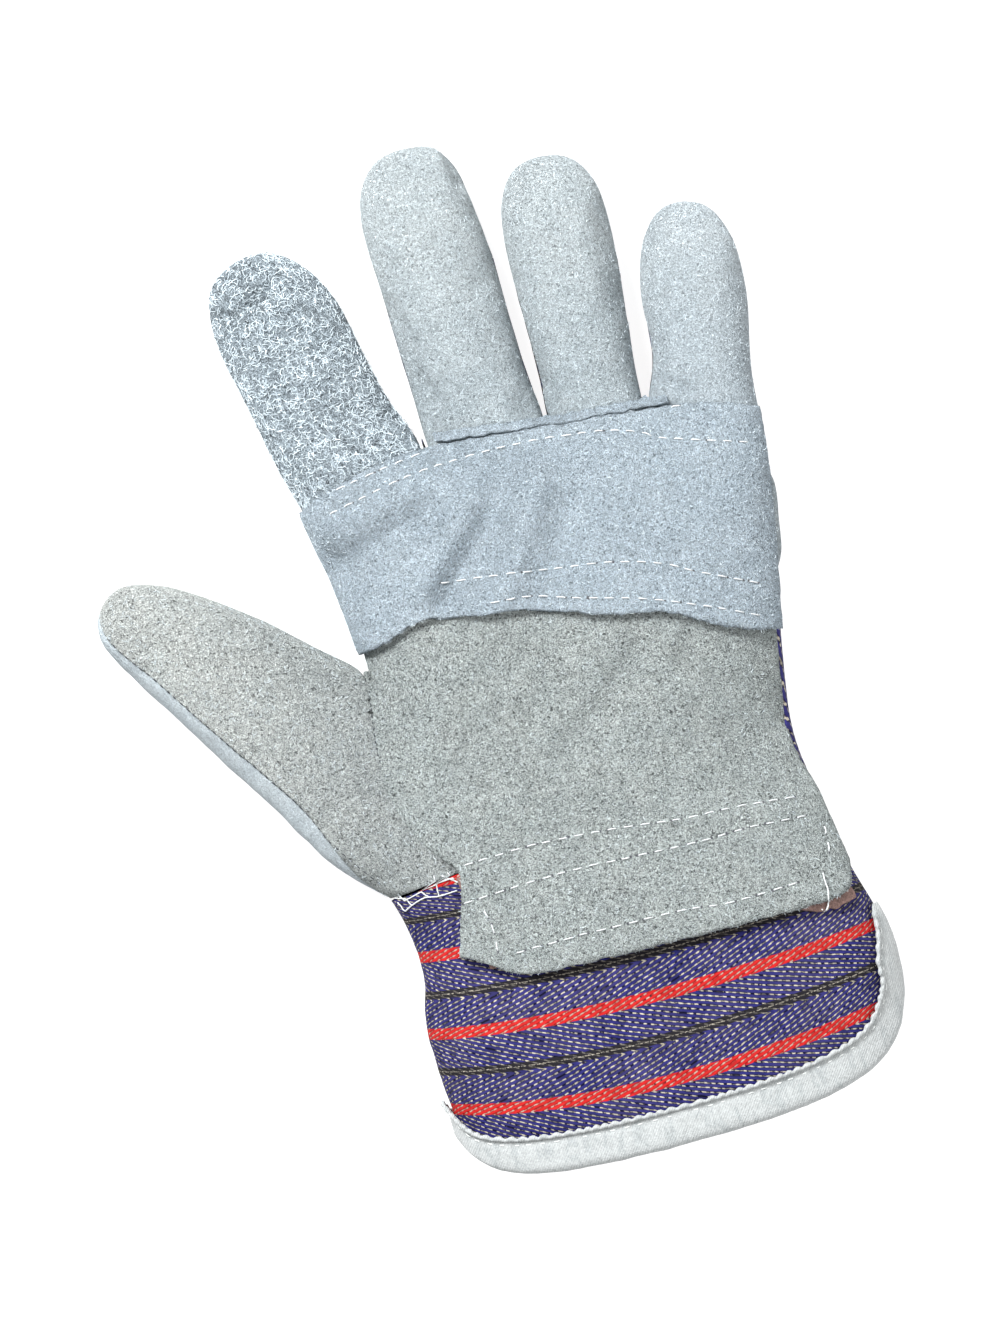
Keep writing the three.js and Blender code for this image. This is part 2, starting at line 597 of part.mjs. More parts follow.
function bandSheet(low, high, rightAngle, leftAngle, rows, columns, lift) {
  return shares(rows).map((v) => shares(columns).map((u) => {
    const angle = lerp(rightAngle, leftAngle, u);
    const guess = handX(angle, lerp(low(0), high(0), v));
    const s = lerp(low(guess), high(guess), v);
    const end = (u === 0 || u === 1) && Math.abs(Math.sin(angle)) < levelSine;
    return raised(handPoint(angle, s, end ? halfGap * Math.sign(leftAngle) : 0), lift);
  }));
}

// The cuff: a sleeve that is slit at the little finger's side, with a hem that is rounded there.
const hemSide = 0.18 * cuffLength; // the hem rises by this at the thumb's side
const hemCorner = 0.42 * cuffLength; // and by this at the slit
// These angles round the cuff, in radians, tell how fast the hem comes down from there.
const hemSideReach = 0.27;
const hemSlitReach = 0.46;
const hemRound = 0.25; // keeps the hem's curve smooth where it passes the thumb's side
const hemAt = (angle) => {
  const fromSide = Math.hypot(Math.PI - angle, hemRound) - hemRound;
  const side = hemSide * Math.exp(-fromSide / hemSideReach);
  const corner = hemCorner * Math.exp(-angle / hemSlitReach);
  return -cuffLength + side + corner;
};
const ventTop = -cuffLength + hemCorner + ventLength;
const slitEase = 8; // the slit widens over this length to make room for the tape on its edges
const ventAngle = (s) => {
  const open = clamp((ventTop - s) / (cuffLength + ventTop), 0, 1);
  const room = tapeStack * smoothstep(ventTop + slitEase - s, 0, slitEase);
  return (halfGap + room + (ventOpening / 2 - tapeStack) * open) / (0.5 * hemHeight);
};
const cuffPoint = (angle, s) => handPoint(angle > Math.PI ? angle - 2 * Math.PI : angle, s);
const around = (angle) => (angle > Math.PI ? 2 * Math.PI - angle : angle);

// The angle of the slit's edge in the row of the cuff at a share of the way up from the hem.
function slitAngle(v) {
  let angle = ventAngle(-cuffLength);
  for (let pass = 0; pass < 8; pass += 1)
    angle = ventAngle(lerp(hemAt(angle), cuffTop(0), v));
  return angle;
}

function cuffRows(rows, columns) {
  return shares(rows).map((v) => {
    const slit = slitAngle(v);
    return angleSteps(slit, 2 * Math.PI - slit, columns).map((angle) => {
      const low = hemAt(around(angle));
      return cuffPoint(angle, lerp(low, cuffTop(handX(angle, lerp(low, 0, v))), v));
    });
  });
}

// The tape that binds the cuff's free edge: up the slit, round the corner, along the hem and back.
function hemEdge(count) {
  const first = slitAngle(0);
  const up = shares(3).map((f) => {
    const s = lerp(ventTop, hemAt(first), f);
    return { angle: f === 1 ? first : ventAngle(s), s };
  });
  const hem = angleSteps(first, 2 * Math.PI - first, count).slice(1, -1)
    .map((angle) => ({ angle, s: hemAt(around(angle)) }));
  const down = up.map(({ angle, s }) => ({ angle: 2 * Math.PI - angle, s })).reverse();
  return [...up, ...hem, ...down];
}

function bindingGeometry(count) {
  const edge = hemEdge(count);
  // The tape's section, folded over the edge: how far into the cloth, as a share of its width, how far past
  // the cloth's edge, and how far out of the cloth's outer face.
  const leg = [0, 1 / 3, 2 / 3, 1];
  const on = (out, past, intos) => intos.map((into) => ({ into, past: into === 0 ? past : 0, out }));
  const section = [
    ...on(tapeStack, 0, [...leg].reverse()),
    { into: 0, past: tapeGap + tape, out: -cloth / 2 },
    ...on(-cloth - tapeStack, 0, leg),
    ...on(-cloth - tapeGap, tapeGap, [...leg].reverse()),
    ...on(tapeGap, tapeGap, leg),
  ];
  const small = 0.01;
  const metric = (angle, s) =>
    cuffPoint(angle + small, s).point.distanceTo(cuffPoint(angle - small, s).point) / (2 * small);
  const rings = edge.map((here, i) => {
    const before = edge[Math.max(i - 1, 0)];
    const after = edge[Math.min(i + 1, edge.length - 1)];
    const size = metric(here.angle, here.s);
    const run = plan((after.angle - before.angle) * size, after.s - before.s).normalize();
    const end = i === 0 ? 1 : i === edge.length - 1 ? -1 : 0;
    const width = tapeWidth * lerp(0.5, 1, smoothstep(ventTop - here.s, 0, ventLength));
    // At the thumb's side the tape stays nearly upright, so it narrows where the hem rises steeply.
    const lean = lerp(1, 0.35, smoothstep(around(here.angle), 1, 2));
    return section.map(({ into, past, out }) => {
      const inward = into * width - past;
      const angle = here.angle - (run.y * lean * inward) / size;
      const s = here.s + run.x * inward + end * tapeGap;
      return raised(cuffPoint(angle, s), out).point;
    });
  });
  const positions = rings.flat().flatMap((p) => p.toArray());
  const faces = [];
  const size = section.length;
  for (let i = 0; i + 1 < rings.length; i += 1)
    for (let k = 0; k < size; k += 1) {
      const next = (k + 1) % size;
      const [a, b, c, d] = [i * size + k, i * size + next, (i + 1) * size + next, (i + 1) * size + k];
      faces.push(a, c, b, a, d, c);
    }
  const outline = section.map(({ into, past, out }) => plan(into * tapeWidth - past, out));
  const lid = THREE.ShapeUtils.triangulateShape(outline, []);
  const last = (rings.length - 1) * size;
  for (const [a, b, c] of lid) {
    faces.push(a, b, c);
    faces.push(last + a, last + c, last + b);
  }
  const geometry = new THREE.BufferGeometry();
  geometry.setAttribute("position", new THREE.Float32BufferAttribute(positions, 3));
  geometry.setIndex(faces);
  return geometry;
}

const finish = (color, roughness) => new THREE.MeshStandardMaterial({ color, roughness, metalness: 0 });
const palmSuede = finish(0xa5afac, 0.95);
const patchSuede = finish(0xafc3d2, 0.95);
const indexSuede = finish(0x93a4b0, 0.95);
const paleSuede = finish(0xb4bdbf, 0.95);
const drill = finish(0x3f3c88, 0.9);
const fibreBoard = finish(0x8c6e66, 0.9);
const whiteTwill = finish(0xe3e6e8, 0.85);

const glove = new THREE.Group();
function add(name, geometry, material) {
  const mesh = new THREE.Mesh(geometry, material);
  mesh.name = name;
  glove.add(mesh);
}

const palmTop = (u, x, s) => rootLine(x) - rootGap / 2 - s;
add("palm_leather", wall(handSheet(palmRows(), 16, tongueEdge, palmTop, tongueLift), leather), palmSuede);

add("palm_patch", wall(bandSheet((x) => edgeAt(patchBottom, x), (x) => edgeAt(patchTop, x),
  wrapAngle + wrapGap, Math.PI, 8, 20, patchGap + leather), leather), patchSuede);

const weltLow = (x) => edgeAt(patchTop, x) + rootGap;
const weltHigh = (x) => weltLow(x) + weltHeight;
const weltAngles = [0.325, -0.19].map((share) => handAngle(share * palmWidth, handLength));
add("finger_base_welt", wall(bandSheet(weltLow, weltHigh, weltAngles[0], weltAngles[1],
  1, 20, patchGap + leather), leather), paleSuede);

const frontLine = (x) => rootLine(x) + rootGap / 2;
const frontStations = [
  ["root", 0],
  ...zoneRows("tube", 0, 1, 5),
  ...zoneRows("cap", 0, 1, 3).slice(1),
];
fingers.forEach(({ name }, index) => {
  const material = name === "index" ? indexSuede : paleSuede;
  add(name + "_front", wall(fingerPanel(index, false, frontLine, frontStations, 8), leather), material);
});

// The index finger is leather all round. The others are cloth on the back, with a leather tip.
const tipShare = 0.72;
const tipGap = halfGap / (0.7 * fingerLength.middle);
const rootStations = zoneRows("root", 0, 1, 4).slice(0, -1);
const backLineUp = (x) => backLine(x) + rootGap / 2;
fingers.forEach(({ name }, index) => {
  const whole = [...rootStations, ...zoneRows("tube", 0, 1, 4), ...zoneRows("cap", 0, 1, 3).slice(1)];
  const clothPart = [...rootStations, ...zoneRows("tube", 0, tipShare - tipGap, 3)];
  const tipPart = [...zoneRows("tube", tipShare + tipGap, 1, 1), ...zoneRows("cap", 0, 1, 3).slice(1)];
  if (name === "index") {
    add("index_back", wall(fingerPanel(index, true, backLineUp, whole, 7), leather, true), indexSuede);
    return;
  }
  add(name + "_back", wall(fingerPanel(index, true, backLineUp, clothPart, 7), cloth, true), drill);
  add(name + "_tip", wall(fingerPanel(index, true, backLineUp, tipPart, 7), leather, true), paleSuede);
});

add("thumb_front", wall(thumbPanel(false, 9), leather), palmSuede);
add("thumb_back", wall(thumbPanel(true, 11), leather, true), paleSuede);

// The back of the hand, from the cuff up to the joint that the knuckle strap covers.
function backRows() {
  const low = shares(seamSteps).map((f) => {
    const spot = thumbSeam.getPoint(f);
    return {
      left: f === 0 ? cuffTop(spot.x) + seamGap : spot.y,
      right: lerp(cuffTop(0) + seamGap, 0.55 * handLength, f),
      leftAngle: -handAngle(spot.x + halfGap, spot.y),
    };
  });
  const end = strapStation - rootGap / 2;
  const high = [0.1, 1].map((f) => ({
    left: lerp(fork.y, end, f),
    right: lerp(0.55 * handLength, end, f),
    leftAngle: -Math.PI,
  }));
  return [...low, ...high].map((row) => ({ ...row, rightAngle: sideWrap(row.right) - wrapGap }));
}
add("back_panel", wall(handSheet(backRows(), 14, flat, flat), cloth, true), drill);

const strapEnd = degToRad(-163); // the strap stops short of the thumb's side, under the hand
add("knuckle_strap", wall(bandSheet(() => strapStation - strapWidth / 2, () => strapStation + strapWidth / 2,
  wrapAngle - 2 * wrapGap, strapEnd, 3, 24, strapStack), leather, true), paleSuede);

const cuffColumns = 36;
add("cuff", wall(cuffRows(8, cuffColumns), cloth), drill);

// The board between the tongue and the cuff, which peeps out at the tongue's corners.
const boardLow = (x) => {
  const lobe = smoothstep(x, 0.27 * palmWidth, 0.37 * palmWidth);
  const corner = smoothstep(x, 0.4 * palmWidth, 0.47 * palmWidth);
  return -tongueLength * (0.88 + 0.19 * lobe - 0.05 * corner);
};
const boardHigh = () => -0.4;
const boardAngles = { right: degToRad(23), left: degToRad(134.5) };
add("cuff_stiffener", wall(bandSheet(boardLow, boardHigh, boardAngles.right, boardAngles.left,
  3, 18, layerGap + board), board), fibreBoard);

add("hem_binding", bindingGeometry(cuffColumns), whiteTwill);

glove.position.y = -strapStation;
export default glove;
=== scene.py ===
"""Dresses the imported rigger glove: napped leather, striped drill, tape, stitches and loose threads."""

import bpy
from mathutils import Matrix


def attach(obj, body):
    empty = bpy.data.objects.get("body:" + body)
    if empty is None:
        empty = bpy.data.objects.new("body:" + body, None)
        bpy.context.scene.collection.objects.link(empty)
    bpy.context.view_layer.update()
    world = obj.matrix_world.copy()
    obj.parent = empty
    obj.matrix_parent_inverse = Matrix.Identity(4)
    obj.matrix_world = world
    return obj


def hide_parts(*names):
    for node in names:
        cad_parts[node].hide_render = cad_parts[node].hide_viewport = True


bl_info = {
    "name": "Rigger glove",
    "version": (1, 0, 0),
    "blender": (4, 5, 0),
    "location": "3D View > Sidebar > Glove",
    "description": "Builds a split leather rigger glove with a striped drill cuff around its packed solids",
    "category": "Object",
}

import math

import bmesh
import bpy
import numpy as np
from bpy.props import FloatProperty, FloatVectorProperty, IntProperty, PointerProperty
from mathutils import Matrix, Vector
from mathutils.bvhtree import BVHTree
from mathutils.kdtree import KDTree

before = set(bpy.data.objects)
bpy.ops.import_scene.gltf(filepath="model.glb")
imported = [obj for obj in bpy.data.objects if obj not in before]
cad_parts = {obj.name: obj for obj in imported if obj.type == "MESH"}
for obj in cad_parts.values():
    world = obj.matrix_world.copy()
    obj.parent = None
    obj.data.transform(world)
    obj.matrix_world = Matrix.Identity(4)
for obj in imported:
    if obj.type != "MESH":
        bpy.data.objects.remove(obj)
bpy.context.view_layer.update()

MM = 0.001
WELD = 0.003 * MM
RIM_ANGLE = math.radians(60)

# Soft folds in the palm side's leather as lines on the plan in millimetres, with their height and half width.
# Those over zero are ridges and those under zero are hollows. Each height is multiplied by the depth.
FOLD_DEPTH = 2.3
FOLDS = [
    ([(-56.3, 27.3), (-41.7, 31.4), (-24.7, 33.9)], 1.0, 5),
    ([(-56.5, 15.0), (-43.3, 19.2), (-30.0, 23.1)], -1.3, 4.5),
    ([(-17.1, 31.5), (-25.3, 14.4), (-37.4, 3.6)], 0.7, 5),
    ([(-5.8, 32.9), (-13.9, 19.8), (-23.2, 8.4), (-31.9, -1.8)], -1.2, 4),
    ([(2.9, 29.4), (-5.2, 15.0), (-14.7, -1.8)], 1.2, 4),
    ([(8.2, 17.2), (0.6, 2.7), (-5.8, -6.7)], -0.7, 4),
    ([(-10.8, -16.4), (-22.3, -30.1), (-36.7, -44.4)], 0.9, 5),
    ([(-18.6, -14.6), (-32.6, -33.0), (-43.4, -44.1)], -0.85, 4),
    ([(15.7, -25.5), (1.6, -38.5), (-11.8, -49.0)], -0.7, 4),
    ([(28.3, -29.9), (37.7, -41.7), (48.4, -53.9)], -0.8, 3.5),
    ([(26.1, -38.9), (37.4, -48.5), (48.5, -59.3)], 0.5, 3.5),
    ([(-31.8, -63.8), (1.1, -63.5), (27.3, -67.9), (48.6, -70.3)], -0.6, 3.5),
    ([(-66.4, 79.1), (-52.6, 79.1)], -0.35, 1.5),
    ([(-64.9, 71.6), (-48.6, 72.6)], -0.35, 1.5),
    ([(-63.4, 62.9), (-43.6, 64.8)], -0.3, 1.6),
    ([(-60.9, 53.5), (-43.1, 55.3)], -0.3, 1.6),
    ([(-67.5, 86.0), (-50.7, 86.9)], 0.3, 1.5),
    ([(-113.4, 13.0), (-110.6, 4.4), (-111.5, -1.0)], -0.6, 3.4),
    ([(-103.2, 14.1), (-83.4, -1.7), (-64.9, -17.2)], 0.4, 7),
    ([(-28.6, 80.1), (-26.1, 62.6), (-22.5, 50.0)], -0.6, 3.5),
    ([(-29.5, 67.0), (-28.4, 61.9), (-23.9, 54.6), (-16.5, 48.3)], -0.5, 3.0),
    ([(-27.5, 76.8), (-24.7, 69.9)], -0.35, 2.2),
    ([(-14.2, 78.7), (-10.1, 61.0), (-4.7, 48.7)], 0.5, 5),
    ([(-1.1, 117.1), (-0.7, 109.7)], -0.8, 2.5),
    ([(-76.1, 88.9), (-70.0, 87.6), (-66.6, 88.4), (-62.1, 90.6), (-59.2, 92.6)], -1.05, 1.7),
    ([(-71.5, 93.2), (-66.0, 93.8), (-61.8, 95.8)], 0.45, 3.2),
    ([(5.6, 58.0), (6.5, 51.7), (14.5, 44.5)], -0.55, 2.2),
    ([(33.4, 91.1), (33.6, 78.5), (32.6, 67.7)], -0.4, 4),
    ([(38.1, 44.4), (41.8, 41.3), (46.5, 39.5)], -0.6, 1.8),
]

# The seam between the thumb and the palm, on the plan in millimetres.
THUMB_SEAM = [(-43.3, -69.1), (-53.5, -61.6), (-58.7, -48.2), (-59.0, -34.5), (-57.6, -23.5), (-56.6, -13.3)]

# Rows of stitches on the plan in millimetres.
PATCH_ROWS = [
    [(-53.5, 35.3), (-40.5, 37.7), (-24.8, 40.4)],
    [(-56.5, 29.2), (-35.9, 33.8), (-21.8, 35.4), (-2.3, 36.0), (19.3, 34.1), (29.7, 31.3), (35.9, 28.2),
     (60.7, 21.1)],
    [(-31.9, 4.4), (-15.9, 2.7), (0.1, 0.8), (13.5, -0.8), (26.5, -4.2), (36.3, -9.0), (54.2, -16.7)],
    [(-20.2, -4.0), (-9.3, -4.7), (3.5, -8.3), (19.0, -12.1), (34.3, -17.6), (52.2, -25.1)],
    [(39.6, 36.1), (47.9, 35.4)],
]
TONGUE_ROWS = [
    [(-43.5, -70.5), (-23.0, -69.4), (-0.8, -70.3), (17.2, -71.9), (30.9, -72.2), (52.0, -74.0)],
    [(-45.9, -80.4), (-28.6, -78.9), (-13.1, -78.2), (0.5, -78.5), (19.7, -78.7), (33.6, -78.3),
     (52.3, -79.3)],
    [(-35.2, -96.2), (-17.3, -95.4), (-5.2, -95.3), (10.6, -95.3), (24.9, -96.3), (48.0, -95.3)],
    [(-40.8, -83.2), (-39.6, -88.4), (-39.8, -96.2)],
    [(53.1, -82.8), (52.8, -89.2), (51.2, -95.1)],
]
STRIP_SEAM = [(-123.7, 10.7), (-119.7, 4.2), (-111.4, -7.5), (-103.7, -16.3), (-93.4, -31.2),
              (-83.3, -47.4), (-72.9, -62.4), (-65.6, -71.9)]
LONE_HOLES = [(-39.8, -72.2), (-39.9, -77.1)]

# Overcast threads at the cuff's upper edge beside the thumb, and the loose end that hangs over the tongue.
OVERCAST = [
    [(-61.5, -79.2), (-59.4, -78.0), (-55.6, -76.7), (-51.8, -77.1), (-46.5, -76.7)],
    [(-61.0, -75.4), (-59.4, -78.0)],
    [(-56.8, -74.2), (-54.2, -77.0)],
    [(-51.7, -71.4), (-51.7, -77.0)],
    [(-49.7, -71.9), (-45.9, -74.5)],
    [(-48.0, -71.4), (-46.6, -73.8)],
    [(-63.0, -76.4), (-61.7, -79.2)],
]
LOOSE_END = [(49.6, -94.5), (49.2, -97.5), (49.0, -100.6), (48.4, -103.6), (47.3, -105.0), (46.6, -104.0)]


def smoothstep(value, low, high):
    """Zero before low and one past high, softly. It falls instead where high is below low."""
    share = np.clip((value - low) / (high - low), 0, 1)
    return share * share * (3 - 2 * share)


def lattice_noise(points, size, seed):
    """Smooth noise between -1 and 1 over points on the plan, with features of one size in millimetres."""
    table = np.random.RandomState(seed).uniform(-1, 1, (64, 64))
    cell = points[:, :2] / size + 500
    low = np.floor(cell).astype(int)
    share = cell - low
    share = share * share * (3 - 2 * share)
    low %= 64
    high = (low + 1) % 64
    bottom = table[low[:, 0], low[:, 1]] * (1 - share[:, 0]) + table[high[:, 0], low[:, 1]] * share[:, 0]
    top = table[low[:, 0], high[:, 1]] * (1 - share[:, 0]) + table[high[:, 0], high[:, 1]] * share[:, 0]
    return bottom * (1 - share[:, 1]) + top * share[:, 1]


def line_distance(points, line):
    """How far each point lies from a line on the plan."""
    best = np.full(len(points), 1e9)
    for start, end in zip(line[:-1], line[1:]):
        start, run = np.array(start), np.array(end) - np.array(start)
        share = np.clip(((points[:, :2] - start) @ run) / (run @ run), 0, 1)
        away = points[:, :2] - start - share[:, None] * run
        best = np.minimum(best, np.hypot(away[:, 0], away[:, 1]))
    return best


def relief(points, palm_side):
    """How far the skin stands in or out of the plain shape over points on the plan, in millimetres."""
    raised = 0.42 * lattice_noise(points, 21, 3) + 0.22 * lattice_noise(points, 8.5, 5)
    raised += 0.12 * lattice_noise(points, 3.7, 8) + 0.06 * lattice_noise(points, 1.9, 9)
    if palm_side:
        for line, height, width in FOLDS:
            raised += FOLD_DEPTH * height * np.exp(-((line_distance(points, line) / width) ** 2))
        for line in PATCH_ROWS + TONGUE_ROWS:
            raised -= 0.3 * np.exp(-((line_distance(points, line) / 0.9) ** 2))
    return raised


def islands(bm):
    """The connected groups of faces of a mesh, the one with the largest area first."""
    left, found = set(bm.faces), []
    while left:
        group, edge = set(), [left.pop()]
        while edge:
            face = edge.pop()
            group.add(face)
            for loop in face.edges:
                for near in loop.link_faces:
                    if near in left:
                        left.remove(near)
                        edge.append(near)
        found.append(group)
    return sorted(found, key=lambda group: -sum(face.calc_area() for face in group))


def welded(node):
    bm = bmesh.new()
    bm.from_mesh(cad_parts[node].data)
    bmesh.ops.remove_doubles(bm, verts=bm.verts[:], dist=WELD)
    return bm


def squared(bm):
    """Joins the triangles of a skin to quads."""
    bmesh.ops.join_triangles(bm, faces=bm.faces[:], angle_face_threshold=math.pi,
                             angle_shape_threshold=math.pi)
    return bm


def sharp_edges(bm):
    return [e for e in bm.edges if len(e.link_faces) == 2 and e.calc_face_angle() > RIM_ANGLE]


def outer_skin(node):
    """The outer face of a solid wall, as a sheet of quads."""
    bm = welded(node)
    bmesh.ops.split_edges(bm, edges=sharp_edges(bm))
    keep = islands(bm)[0]
    bmesh.ops.delete(bm, geom=[face for face in bm.faces if face not in keep], context="FACES")
    return squared(bm)


def new_object(name, mesh, node=None, material=None):
    piece = bpy.data.objects.new(name, mesh)
    bpy.context.scene.collection.objects.link(piece)
    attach(piece, "root")
    if node:
        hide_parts(node)
    if material:
        mesh.materials.append(material)
    return piece


def baked(carrier, name):
    """A carrier object's mesh with its modifiers or its curve's bevel applied; the carrier goes."""
    fine = bpy.data.meshes.new_from_object(carrier.evaluated_get(bpy.context.evaluated_depsgraph_get()))
    fine.name = name
    bpy.data.objects.remove(carrier)
    return fine


def finer(bm, name):
    """A smooth mesh with every quad split in 64."""
    mesh = bpy.data.meshes.new(name)
    bm.to_mesh(mesh)
    bm.free()
    carrier = bpy.data.objects.new(name + "_carrier", mesh)
    bpy.context.scene.collection.objects.link(carrier)
    split = carrier.modifiers.new("Finer", "SUBSURF")
    split.levels = split.render_levels = 3
    split.boundary_smooth = "PRESERVE_CORNERS"
    return baked(carrier, name)


def points_and_normals(mesh):
    points = np.zeros(3 * len(mesh.vertices), np.float32)
    normals = np.zeros(3 * len(mesh.vertices), np.float32)
    mesh.vertices.foreach_get("co", points)
    mesh.vertex_normals.foreach_get("vector", normals)
    return points.reshape(-1, 3).astype(float) / MM, normals.reshape(-1, 3).astype(float)


def set_points(mesh, points):
    mesh.vertices.foreach_set("co", (points * MM).astype(np.float32).ravel())
    mesh.update()


def rim_points(mesh):
    """The vertices on the open edge of a sheet."""
    count = np.zeros(len(mesh.edges), int)
    sides = np.zeros(len(mesh.loops), int)
    mesh.loops.foreach_get("edge_index", sides)
    np.add.at(count, sides, 1)
    return sorted({v for edge in mesh.edges if count[edge.index] == 1 for v in edge.vertices})


def shade_smooth(mesh):
    mesh.polygons.foreach_set("use_smooth", [True] * len(mesh.polygons))


def skin_piece(node, material, thickness, palm_side=True, roll=0.55, ragged=0.0, tuck=0.0, snug=0.0):
    """Replaces a wall by a finely shaped skin of the same thickness. All lengths are in millimetres.

    The roll turns sewn edges in, ragged frays free ones, tuck draws all edges in and snug the sides.
    """
    mesh = finer(outer_skin(node), node + "_skin")
    points, normals = points_and_normals(mesh)
    edge = rim_points(mesh)
    tree = KDTree(len(edge))
    for i in edge:
        tree.insert(points[i], i)
    tree.balance()
    nearest = [tree.find(p) for p in points]
    away = np.array([n[2] for n in nearest])
    rim = [n[1] for n in nearest]
    steep = 1 - np.abs(normals[rim, 2])
    # At a sewn edge the skin turns in, and keeps its place so that it meets its neighbour.
    sewn = smoothstep(steep, 0.15, 0.5)
    held = 1 - sewn * np.exp(-away / 2.5)
    # The thumb's seam is rolled deep at the fork and lies flat near the cuff.
    seam = smoothstep(line_distance(points, THUMB_SEAM), 5, 2)
    flat = seam * (0.5 + 0.45 * smoothstep(points[:, 1], -40, -48))
    raised = relief(points, palm_side) * held - roll * (1 - flat) * sewn * np.exp(-((away / 1.1) ** 2))
    raised -= tuck * np.exp(-((away / 4) ** 2))
    raised -= snug * smoothstep(np.abs(normals[:, 2]), 0.75, 0.35)
    if ragged:
        free = smoothstep(line_distance(points[rim], THUMB_SEAM), 1.5, 4)
        loose = (1 - sewn) * free * np.exp(-((away / 1.2) ** 2)) * ragged
        raised -= 0.15 * loose
        shift = np.stack([lattice_noise(points, 1.7, 11), lattice_noise(points, 1.9, 12)], 1)
        points[:, :2] += loose[:, None] * shift
    points += normals * raised[:, None]
    points[:, 2] = np.maximum(points[:, 2], 0.02)
    set_points(mesh, points)
    shade_smooth(mesh)
    piece = new_object(node + "_skin", mesh, node, material)
    wall = piece.modifiers.new("Wall", "SOLIDIFY")
    wall.thickness = thickness * MM
    wall.offset = -1
    return piece


def smooth_line(line, step):
    """Points at an even step along a smooth curve through the points of a line, in millimetres."""
    line = np.array(line, float)
    padded = np.vstack([2 * line[0] - line[1], line, 2 * line[-1] - line[-2]])
    dense = []
    for a, b, c, d in zip(padded[:-3], padded[1:-2], padded[2:-1], padded[3:]):
        t = np.linspace(0, 1, 24, endpoint=False)[:, None]
        bend = (2 * a - 5 * b + 4 * c - d) * t**2 + (3 * b - a - 3 * c + d) * t**3
        dense.append(0.5 * (2 * b + (c - a) * t + bend))
    dense = np.vstack([*dense, line[-1:]])
    far = np.concatenate([[0], np.cumsum(np.linalg.norm(np.diff(dense, axis=0), axis=1))])
    at = np.arange(0, far[-1], step)
    return np.stack([np.interp(at, far, dense[:, k]) for k in range(dense.shape[1])], 1)


def strands(name, lines, radius, material, sides=1):
    """Threads or fibres as one mesh. A line is rows of x, y, z in millimetres and a share of the radius."""
    curve = bpy.data.curves.new(name, "CURVE")
    curve.dimensions = "3D"
    curve.bevel_depth = radius * MM
    curve.bevel_resolution = sides
    curve.use_fill_caps = True
    for line in lines:
        line = np.array(line, float)
        line[:, 2] = np.maximum(line[:, 2], radius * line[:, 3])
        spline = curve.splines.new("POLY")
        spline.points.add(len(line) - 1)
        places = np.column_stack([line[:, :3] * MM, np.ones(len(line))])
        spline.points.foreach_set("co", places.astype(np.float32).ravel())
        spline.points.foreach_set("radius", line[:, 3].astype(np.float32))
    carrier = bpy.data.objects.new(name + "_carrier", curve)
    bpy.context.scene.collection.objects.link(carrier)
    mesh = baked(carrier, name)
    shade_smooth(mesh)
    return new_object(name, mesh, None, material)


class Surface:
    """The skins of one side of the glove, to lay threads on."""

    def __init__(self, pieces):
        bm = bmesh.new()
        for piece in pieces:
            bm.from_mesh(piece.data)
        self.tree = BVHTree.FromBMesh(bm)
        bm.free()

    def top(self, x, y):
        """The place and the normal of the skin under a point on the plan, in millimetres."""
        place, normal, _, _ = self.tree.ray_cast(Vector((x, y, 90)) * MM, Vector((0, 0, -1)))
        if place is None:
            place, normal, _, _ = self.tree.find_nearest(Vector((x, y, 20)) * MM)
        return np.array(place) / MM, np.array(normal)

    def laid(self, line, heights, sizes):
        """A line of x and y laid on the skin, with a height over it and a size for each point."""
        rows = []
        for (x, y), height, size in zip(line, heights, sizes):
            place, normal = self.top(x, y)
            rows.append((*(place + normal * height), size))
        return rows


STITCH_STEP = 0.2


def stitches(surface, row, pitch, length, rise, rng):
    """The stitches along a row and the needle holes between them."""
    path = smooth_line(row, STITCH_STEP)
    count = int(len(path) * STITCH_STEP / pitch)
    heights = (-0.3, 0.5 * rise, rise, rise, 0.5 * rise, -0.3)
    widths = (0.6, 0.95, 1, 1, 0.95, 0.6)
    sewn, holes = [], []
    for k in range(count):
        start = int((k * pitch + rng.uniform(-0.15, 0.15)) / STITCH_STEP)
        stop = start + int(length * rng.uniform(0.9, 1.1) / STITCH_STEP)
        if start < 0 or stop >= len(path):
            continue
        picks = np.linspace(start, stop, len(heights)).astype(int)
        sway = rng.uniform(-0.08, 0.08)
        line = [path[i] + np.array([sway, -sway]) * math.sin(math.pi * n / 5) for n, i in enumerate(picks)]
        sewn.append(surface.laid(line, heights, widths))
        holes += [path[start], path[stop]]
    return sewn, holes


def hole_discs(name, surface, spots, radius, material, rng):
    """The needle holes as small dark discs laid just over the skin: painted shade where the holes are."""
    bm = bmesh.new()
    for x, y in spots:
        place, normal = surface.top(x, y)
        size = radius * rng.uniform(0.7, 1.25)
        turn = Vector(normal).to_track_quat("Z", "Y").to_matrix().to_4x4()
        disc = bmesh.ops.create_circle(bm, cap_ends=True, segments=8, radius=size * MM)
        bmesh.ops.scale(bm, verts=disc["verts"], vec=(rng.uniform(0.8, 1.3), 1, 1))
        bmesh.ops.transform(bm, verts=disc["verts"],
                            matrix=Matrix.Translation(Vector(place + 0.05 * normal) * MM) @ turn)
    mesh = bpy.data.meshes.new(name)
    bm.to_mesh(mesh)
    bm.free()
    return new_object(name, mesh, None, material)


